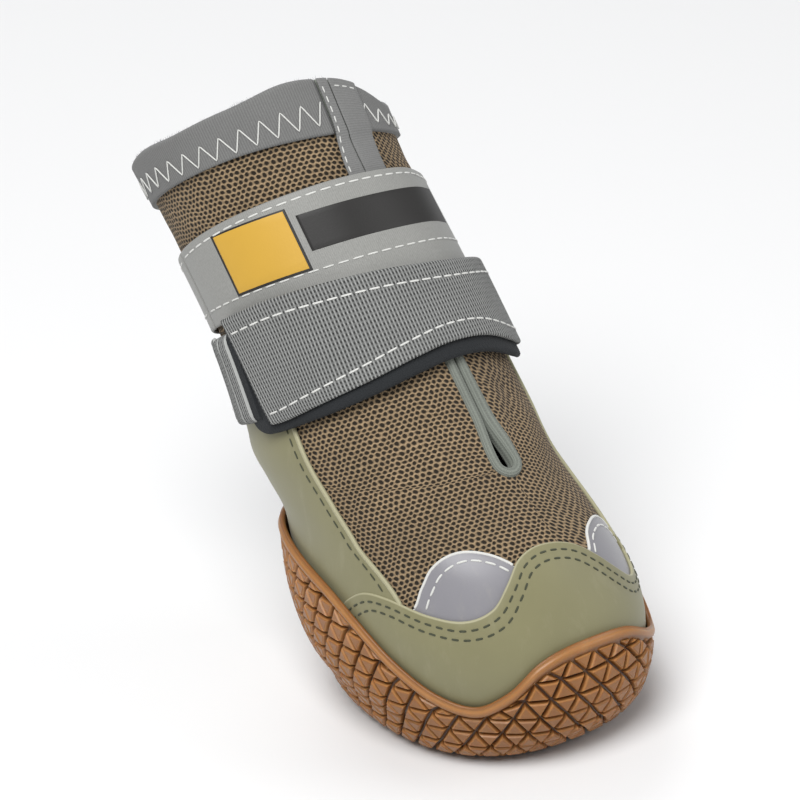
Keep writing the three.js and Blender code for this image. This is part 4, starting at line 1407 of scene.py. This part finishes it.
def top_fuzz(settings):
    """Loose fibres along the collar's top: thin bent cones whose roots, lengths and leanings come
    from a fixed sequence of random numbers."""
    half_wall = settings.wall / MM / 2
    reach = half_wall + FIBRE_SPREAD
    draw = np.random.RandomState(5)
    turn = draw.uniform(0, 360, FIBRES)
    offset = draw.uniform(-half_wall - reach, FIBRE_SPREAD, FIBRES)
    level = TOP + TOP_EDGE + 0.02 * (1 - ((offset + half_wall) / reach) ** 2)
    root = skin(level, turn, offset)
    up = unit(skin(level + 0.1, turn, offset) - root)
    out = last_normal(level, turn)
    aside = np.cross(up, out)
    lean = draw.normal(0, 0.6, (FIBRES, 2))
    ahead = unit(up + lean[:, :1] * out + lean[:, 1:] * aside)
    bend = draw.normal(0, 0.25, (FIBRES, 2))
    long = draw.uniform(*FIBRE_LONG, FIBRES)[:, None]
    tip = root + ahead * long + (bend[:, :1] * out + bend[:, 1:] * aside) * long
    centres = np.stack([root - ahead * 0.15, root + ahead * long * 0.5, tip], 1)[:, :, None]
    angle = np.radians(np.array([0, 120, 240]))[:, None]
    ring = np.cos(angle) * out[:, None] + np.sin(angle) * aside[:, None]
    rings = centres + ring[:, None] * FIBRE_RADII[:, None, None]
    quads, _ = grid_faces(3, 3, close_columns=True)
    ends = np.array([[0, 2, 1], [6, 7, 8]])
    faces = repeated(quads, FIBRES, 9), repeated(ends, FIBRES, 9)
    return merge_and_face_out(mesh_object("collar_fuzz", rings, *faces), FINE)


class BOOT_OT_collar(bpy.types.Operator):
    """Builds the collar tape with its fibres, the rolled binding of the slit and its facings"""

    bl_idname = "boot.collar"
    bl_label = "Collar and slit"

    def execute(self, context):
        fabric = context.scene.boot.fabric
        knit = woven_material("collar tape", fabric.tape, 0.0006, 0.0005, 0.25, 0.25)
        rolled = woven_material("rolled binding", fabric.rolled, 0.0007, 0.0006, 0.3, 0.3)
        finish_piece(collar_tape(fabric), knit, "binding_tape", "collar_band")
        finish_piece(rolled_binding(fabric), rolled, "binding_tape", "throat_binding")
        flat = woven_material("slit facing", fabric.facing, 0.0006, 0.0006, 0.15, 0.2)
        for values in FACINGS:
            finish_piece(facing(*values), flat, "binding_tape")
        fibre = plain_material("collar fibre", fabric.fibre, 0.9, 0.4)
        finish_piece(top_fuzz(fabric), fibre, "binding_tape")
        return {"FINISHED"}


# ---- straps ----


BAND_THICK, BAND_NEAR = 0.9, 0.55  # thickness of the band, and its distance from the mesh at the side
WEBBING_THICK = 1.1
PAD_RISE = 1.7  # how much further out the webbing lies on the pad
PAD_THICK, PAD_SUNK = 1.65, 0.1  # thickness of the pad, and how far it lies under the webbing's root
PAD_CORNER = 8.0  # degrees over which its lower corner is rounded
STRAP_LINE_STEPS = 500  # points of a stitched line along a strap
ROOT_LOW, ROOT_HIGH = 5.9, 7.02  # levels of the folded root
ROOT_SUNK = 0.9  # how far it reaches in behind the webbing
# pieces of the folded root: first and last turn, height over the last, dark or ribbed
# the dark pieces are webbing in painted shade between the folds
STRAP_ROOT = (
    (80.5, 84.6, 3.6, "dark"),
    (85.0, 90.4, 4.3, "ribbed"),
    (90.8, 92.6, 3.7, "dark"),
    (92.9, 97.4, 3.9, "ribbed"),
    (97.8, 99.4, 3.2, "dark"),
    (99.7, 104.2, 3.2, "ribbed"),
)


def webbing_under(turn):
    """Height of the webbing over the last: on the boot at its root, on the pad over the front."""
    return STRAP_OFFSET + PAD_RISE * smoothstep(turn, 276, 296)


def band_under(turn):
    """Height of the reflective band over the last: close to the mesh, and out over the slit's facings."""
    near = 1 - smoothstep(np.abs(signed(turn) - SLIT_UNDER_BAND), 16, 42)
    return BAND_NEAR + (STRAP_OFFSET - BAND_NEAR) * near


def band_edges(turn):
    """Levels of the reflective band's edges. The lower one drops behind the webbing where that stands
    proud of the boot, and the upper one is arched over the front."""
    tucked = smoothstep(turn, 296, 300) * (1 - smoothstep(turn, 437, 441))
    low = BAND["low"] + (BAND_TUCK - BAND["low"]) * tucked
    return low, BAND["high"] + BAND["arch"] * np.cos(np.radians(turn))


def webbing_edges(turn):
    """Levels of the webbing's lower and upper edge, which goes once round and over its root."""
    return [smooth_at(WEBBING_EDGES[:, [0, column]], turn - 360) for column in (1, 2)]


def free_end(level, turn):
    """Turn of a point of the webbing near its free end, slanted so that its lower corner lies back."""
    share = np.clip((webbing_edges(turn)[1] - level) / 1.4, 0, 1)
    return turn - FREE_END_SLANT * share * smoothstep(turn, 400, WEBBING["to"])


def strap_lines(low, high, turn, inset, height):
    """Two curves along a strap, at a distance inside its lower and its upper edge."""
    inset = inset / LEVEL_MM
    return [(level + 0 * turn, turn, height) for level in (low + inset, high - inset)]


class BOOT_OT_straps(bpy.types.Operator):
    """Builds the reflective band, the webbing strap, its root and the dark pad"""

    bl_idname = "boot.straps"
    bl_label = "Straps"

    def execute(self, context):
        fabric = context.scene.boot.fabric
        shiny = woven_material(
            "reflective band", fabric.reflective, 0.0005, 0.0005, depth=0.12, strength=0.12,
            roughness=0.5, sheen=0.1, mottling=0.08,
        )
        ribbed = woven_material("webbing", fabric.webbing, fabric.rib_pitch, 0.0007, 0.9, 1.0)
        dark = plain_material("dark pile", fabric.pile, 0.95, 0.03, 2600.0, 0.3, 0.9)
        turn = np.linspace(BAND["from"], BAND["to"], 320)
        under = band_under(turn)
        band = tape("reflective_band", turn, *band_edges(turn), under, under + BAND_THICK, 14)
        finish_piece(band, shiny, "reflective_tape", "upper_strap")
        turn = np.linspace(WEBBING["from"], WEBBING["to"], 360)
        under, edges = webbing_under(turn), webbing_edges(turn)
        strap = tape("webbing_strap", turn, *edges, under, under + WEBBING_THICK, 16, free_end)
        finish_piece(strap, ribbed, "webbing", "lower_strap")
        for k, (start, end, top, finish) in enumerate(STRAP_ROOT, 1):
            turn = np.linspace(start, end, 10)
            rib = tape(f"strap_root_{k}", turn, ROOT_LOW, ROOT_HIGH, STRAP_OFFSET - ROOT_SUNK, top, 10)
            # painted shade: the root's dark pieces take the dark pile colour
            finish_piece(rib, dark if finish == "dark" else ribbed, "webbing")
        finish_piece(self.pad(), dark, "loop_pile", "loop_pad")
        return {"FINISHED"}

    def pad(self):
        """The pad under the webbing, whose lower corner on the -X side is rounded by a quarter of an
        ellipse."""
        turn = np.linspace(LOOP_PAD["from"], LOOP_PAD["to"], 200)
        into_corner = np.clip(1 - (LOOP_PAD["to"] - turn) / PAD_CORNER, 0, 1)
        ease = np.sqrt(np.clip(1 - into_corner**2, 0.02, 1))
        low = webbing_edges(turn + 360)[0] - LOOP_PAD["below"] + 0.3 * (1 - ease)
        inner = STRAP_OFFSET - PAD_SUNK
        return tape("pile_pad", turn, low, LOOP_PAD["high"], inner, inner + PAD_THICK, 10)


# pieces on the band: first and last turn, lower and upper level, print and height over the band
LABELS = {
    "square_border": (32.0, 70.0, 7.32, 8.05, "charcoal", 0.06),
    "square": (33.2, 68.8, 7.345, 8.025, "ochre", 0.1),
    "bar": (-54, 29, 7.5, 7.92, "charcoal", 0.08),
}


class BOOT_OT_labels(bpy.types.Operator):
    """Builds the plain square and the plain bar on the reflective band"""

    bl_idname = "boot.labels"
    bl_label = "Plain square and bar"

    def execute(self, context):
        fabric = context.scene.boot.fabric
        prints = {
            "ochre": plain_material("ochre print", fabric.ochre, 0.5, 0.0, 2600.0, 0.05, 0.08),
            "charcoal": plain_material("charcoal print", fabric.charcoal, 0.5, 0.0, 2600.0, 0.1, 0.08),
        }
        for label, (first, last, low, high, ink, proud) in LABELS.items():
            turn = np.linspace(first, last, 60)
            top = band_under(turn) + BAND_THICK
            piece = tape(label, turn, low, high, top - 0.1, top + proud, 8)
            finish_piece(piece, prints[ink], "reflective_tape")
        return {"FINISHED"}


# ---- stitching ----

# radius of the thread, length of a stitch and gap, in millimetres, where they are a row's own
RAND_THREAD = (0.24, 1.6, 1.0)
COUNTER_THREAD = (0.22, 1.9, 1.0)
FACING_THREAD = (0.16, 1.5, 0.8)
CLOSE_GAP = 0.7  # gap between stitches of the patches and of the webbing
RAND_INSETS = (1.5, 3.0)  # distances of the rand's two rows from its edge
COUNTER_INSET, PATCH_INSET, BAND_INSET, WEBBING_INSET = 1.8, 1.7, 1.6, 2.5
SEWN_PROUD = 0.05  # height of the middle of a thread over the tape that it lies on
ZIGZAG_LOW, ZIGZAG_TALL = 9.33, 0.36  # lowest level of the zigzag, and its height in levels

class BOOT_OT_stitching(bpy.types.Operator):
    """Builds all the visible stitching and the corded edges of counter and patches"""

    bl_idname = "boot.stitching"
    bl_label = "Stitching"

    def execute(self, context):
        boot = context.scene.boot
        radius, dash, gap = (getattr(boot.thread, a) / MM for a in ("radius", "dash", "gap"))
        white = plain_material("white thread", boot.thread.white, 0.7, 0.3, 4000.0, 0.05, 0.2)
        green = plain_material("dark thread", boot.thread.green, 0.7, 0.1, 4000.0, 0.1, 0.2)
        edge_colour = boot.leather.cut_edge
        piping = synthetic_material("counter piping", edge_colour, edge_colour, 0.55)
        thick = boot.leather.thickness / MM
        self.rand_rows(thick, green)
        self.counter_rows(thick, green, piping)
        self.patch_rows(dash, white)
        self.strap_rows(radius, dash, gap, white)
        self.facing_rows(white)
        self.zigzag(boot.thread, white)
        return {"FINISHED"}

    def rand_rows(self, thick, green):
        """Two rows inside the rand's scalloped edge."""
        turn = np.linspace(1 - RAND_HALF, RAND_HALF - 1, 700)
        edge = rand_edge(turn)
        rows = [(*inward(edge, turn, distance), RAND_UNDER + 0.1 + thick) for distance in RAND_INSETS]
        finish_piece(thread("rand_stitches", rows, *RAND_THREAD), green, "khaki_synthetic")

    def counter_rows(self, thick, green, piping):
        """A row behind each front edge of the counter, and the piping along it."""
        level = np.linspace(2.62, 6.0, 200)
        rows = []
        for side in (1, -1):
            turn = side * (COUNTER_FRONT + COUNTER_INSET / ROUND_MM)
            rows.append((level, counter_front(level, turn), COUNTER_UNDER + 0.12 + thick))
        finish_piece(thread("counter_stitches", rows, *COUNTER_THREAD), green, "khaki_synthetic")
        level = np.linspace(2.5, 6.2, 120)
        for label, side in (("piping_left", 1), ("piping_right", -1)):
            cord = running_cord(label, level, counter_front(level, side * COUNTER_FRONT), 0.5, 0.55, flat=0.9)
            finish_piece(cord, piping, "khaki_synthetic")

    def patch_rows(self, dash, white):
        """A row inside each patch's upper edge, and the pale cord along it, both as far as they show
        over the rand."""
        rows, cords = [], []
        for side, table in PATCHES.items():
            turn = np.linspace(table[0, 0] + 1, table[-1, 0] - 1, 160)
            edge = smooth_at(table, turn), turn
            lines = ((cords, edge, 0.25), (rows, inward(*edge, PATCH_INSET), 0.42))
            for curves, (level, turn), height in lines:
                shown = level > rand_edge(turn) + 0.02
                curves.append((level[shown], turn[shown], height))
        finish_piece(thread("patch_stitches", rows, 0.25, dash, CLOSE_GAP), white, "khaki_synthetic")
        for side, curve in zip(PATCHES, cords):
            finish_piece(running_cord(f"patch_edge_{side}", *curve, 0.34), white, "khaki_synthetic")

    def strap_rows(self, radius, dash, gap, white):
        """A row inside each edge of the reflective band and of the webbing."""
        turn = np.linspace(BAND["from"] + 2, BAND["to"] - 2, STRAP_LINE_STEPS)
        high = band_edges(turn)[1]
        top = band_under(turn) + BAND_THICK + SEWN_PROUD
        rows = strap_lines(BAND["low"] + 0.06, high, turn, BAND_INSET, top)
        finish_piece(thread("band_stitches", rows, radius, dash, gap), white, "reflective_tape")
        turn = np.linspace(WEBBING["from"] + 2, WEBBING["to"] - 2, STRAP_LINE_STEPS)
        top = webbing_under(turn) + WEBBING_THICK + SEWN_PROUD
        rows = strap_lines(*webbing_edges(turn), turn, WEBBING_INSET, top)
        rows = [(level, free_end(level, around), height) for level, around, height in rows]
        finish_piece(thread("webbing_stitches", rows, radius * 1.1, dash, CLOSE_GAP), white, "webbing")

    def facing_rows(self, white):
        """A row down the outer edge of the left facing, and one across the top of the right one."""
        up = np.linspace(8.3, 9.95, 120)
        width = facing_width(up, *FACINGS[0][2:]) - 0.6
        top = np.full(40, 9.93)
        rows = []
        for level, across in ((up, -width), (top, np.linspace(0.6, 6.3, 40))):
            turn = slit_turn(level) - across_turn(across, level)
            rows.append((level, turn, facing_lift(level) + FACING_THICK + 0.03))
        finish_piece(thread("facing_stitches", rows, *FACING_THREAD), white, "binding_tape")

    def zigzag(self, settings, white):
        """A thread that runs to and fro between two levels of the collar tape, as a triangle wave whose
        peaks are cut a little flat."""
        count = round(COLLAR_GIRTH / (settings.zigzag_pitch / MM))
        x = np.linspace(0, count, count * 16)
        wave = np.clip((np.abs((x % 1) * 2 - 1) - 0.5) * 1.06 + 0.5, 0, 1)
        level = ZIGZAG_LOW + ZIGZAG_TALL * wave
        half = 3.6 / ROUND_MM
        turn = slit_turn(level) + half + (360 - 2 * half) * x / count
        cord = running_cord("collar_zigzag", level, turn, COLLAR_THICK + 0.17, 0.16, sides=6)
        finish_piece(cord, white, "binding_tape")


# ---- the stage ----

FLOOR_HALF = 3000.0
# place in metres, diameter in metres, setting that holds the power and its share
LIGHTS = {
    "key": ((-0.55, -0.45, 1.15), 0.9, "key_power", 1.0),
    "fill": ((0.9, -0.7, 0.6), 0.8, "fill_power", 1.0),
    "back": ((0.25, 0.9, 0.9), 0.8, "fill_power", 1.2),
}
LIGHT_AIM = Vector((0, 0.02, 0.05))
# the camera's direction from the boot, its roll, its distance and how far it is moved to the side and up
AZIMUTH, ELEVATION, ROLL = math.radians(31.6), math.radians(26.4), math.radians(5.2)
DISTANCE, TO_SIDE, UPWARDS, BACKWARDS = 0.995, 0.0097, 0.0542, Vector((0, -0.0035, 0))
CAMERA_AIM = Vector((-0.003, 0.0205, 0.0635))


class BOOT_OT_stage(bpy.types.Operator):
    """Builds the floor, the lights and the camera"""

    bl_idname = "boot.stage"
    bl_label = "Stage"

    def execute(self, context):
        settings = context.scene.boot.stage
        self.floor(settings)
        self.lights(context.scene, settings)
        self.camera(context.scene, settings)
        return {"FINISHED"}

    def floor(self, settings):
        """A plain square under the boot."""
        corners = np.array([(-1, -1, 0), (1, -1, 0), (1, 1, 0), (-1, 1, 0)]) * FLOOR_HALF
        floor = mesh_object("floor", corners, np.array([[0, 1, 2, 3]]), smooth=False)
        made, _, shader, _ = material("floor", 0.6, 0.0, 0.2)
        feed(shader["Base Color"], settings.floor)
        floor.data.materials.append(made)

    def lights(self, scene, settings):
        """A large soft light up on the left, a fill on the right, one behind and light from all round."""
        for name, (spot, size, power, share) in LIGHTS.items():
            data = bpy.data.lights.new(name, "AREA")
            data.shape = "DISK"
            data.size = size
            data.energy = getattr(settings, power) * share
            lamp = bpy.data.objects.new(name, data)
            scene.collection.objects.link(lamp)
            lamp.location = spot
            lamp.rotation_euler = (LIGHT_AIM - Vector(spot)).to_track_quat("-Z", "Y").to_euler()
        scene.world = bpy.data.worlds.new("soft light")
        scene.world.use_nodes = True
        background = scene.world.node_tree.nodes["Background"].inputs
        feed(background[0], settings.world)
        feed(background[1], settings.world_strength)
        scene.view_settings.view_transform = "Standard"

    def camera(self, scene, settings):
        """Camera ahead of the toe on the -X side, looking down, and rolled."""
        level = math.cos(ELEVATION)
        back = Vector((-math.sin(AZIMUTH) * level, -math.cos(AZIMUTH) * level, math.sin(ELEVATION)))
        side = Vector((math.cos(AZIMUTH), -math.sin(AZIMUTH), 0))
        up = back.cross(side)
        turned = side * math.cos(ROLL) - up * math.sin(ROLL)
        upright = up * math.cos(ROLL) + side * math.sin(ROLL)
        spot = back * DISTANCE + turned * TO_SIDE + upright * UPWARDS + BACKWARDS
        look = (spot - CAMERA_AIM).normalized()
        across = upright.cross(look).normalized()
        data = bpy.data.cameras.new("camera")
        data.lens = settings.focal
        data.sensor_width = 36
        data.clip_start = 0.05
        data.clip_end = 20
        camera = bpy.data.objects.new("camera", data)
        scene.collection.objects.link(camera)
        facing_way = Matrix((across, look.cross(across), look)).transposed().to_4x4()
        camera.matrix_world = Matrix.Translation(spot) @ facing_way
        scene.camera = camera


class BOOT_OT_insole(bpy.types.Operator):
    """Gives the insole its finish"""

    bl_idname = "boot.insole"
    bl_label = "Insole"

    def execute(self, context):
        board = plain_material("insole board", (0.06, 0.055, 0.05), 0.9, 0.2, 1500.0, 0.2, 0.3)
        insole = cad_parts["insole"]
        insole.data.materials.clear()
        insole.data.materials.append(board)
        return {"FINISHED"}


class BOOT_PT_panel(bpy.types.Panel):
    """Lists the steps that build the boot"""

    bl_idname = "BOOT_PT_panel"
    bl_label = "Dog boot"
    bl_space_type = "VIEW_3D"
    bl_region_type = "UI"
    bl_category = "Dog boot"

    def draw(self, context):
        for step in STEPS:
            self.layout.operator(step.bl_idname)


STEPS = (
    BOOT_OT_sole,
    BOOT_OT_insole,
    BOOT_OT_upper,
    BOOT_OT_overlays,
    BOOT_OT_collar,
    BOOT_OT_straps,
    BOOT_OT_labels,
    BOOT_OT_stitching,
    BOOT_OT_stage,
)
CLASSES = (
    BootSoleSettings,
    BootFabricSettings,
    BootLeatherSettings,
    BootThreadSettings,
    BootStageSettings,
    BootSettings,
    *STEPS,
    BOOT_PT_panel,
)


def register():
    """Registers the classes and hangs the settings on the scene."""
    for cls in CLASSES:
        bpy.utils.register_class(cls)
    bpy.types.Scene.boot = PointerProperty(type=BootSettings)


def unregister():
    """Takes the settings and classes away again."""
    del bpy.types.Scene.boot
    for cls in reversed(CLASSES):
        bpy.utils.unregister_class(cls)


def main():
    """Builds the boot step by step."""
    register()
    for step in STEPS:
        area, name = step.bl_idname.split(".")
        getattr(getattr(bpy.ops, area), name)()


if __name__ == "__main__":
    main()
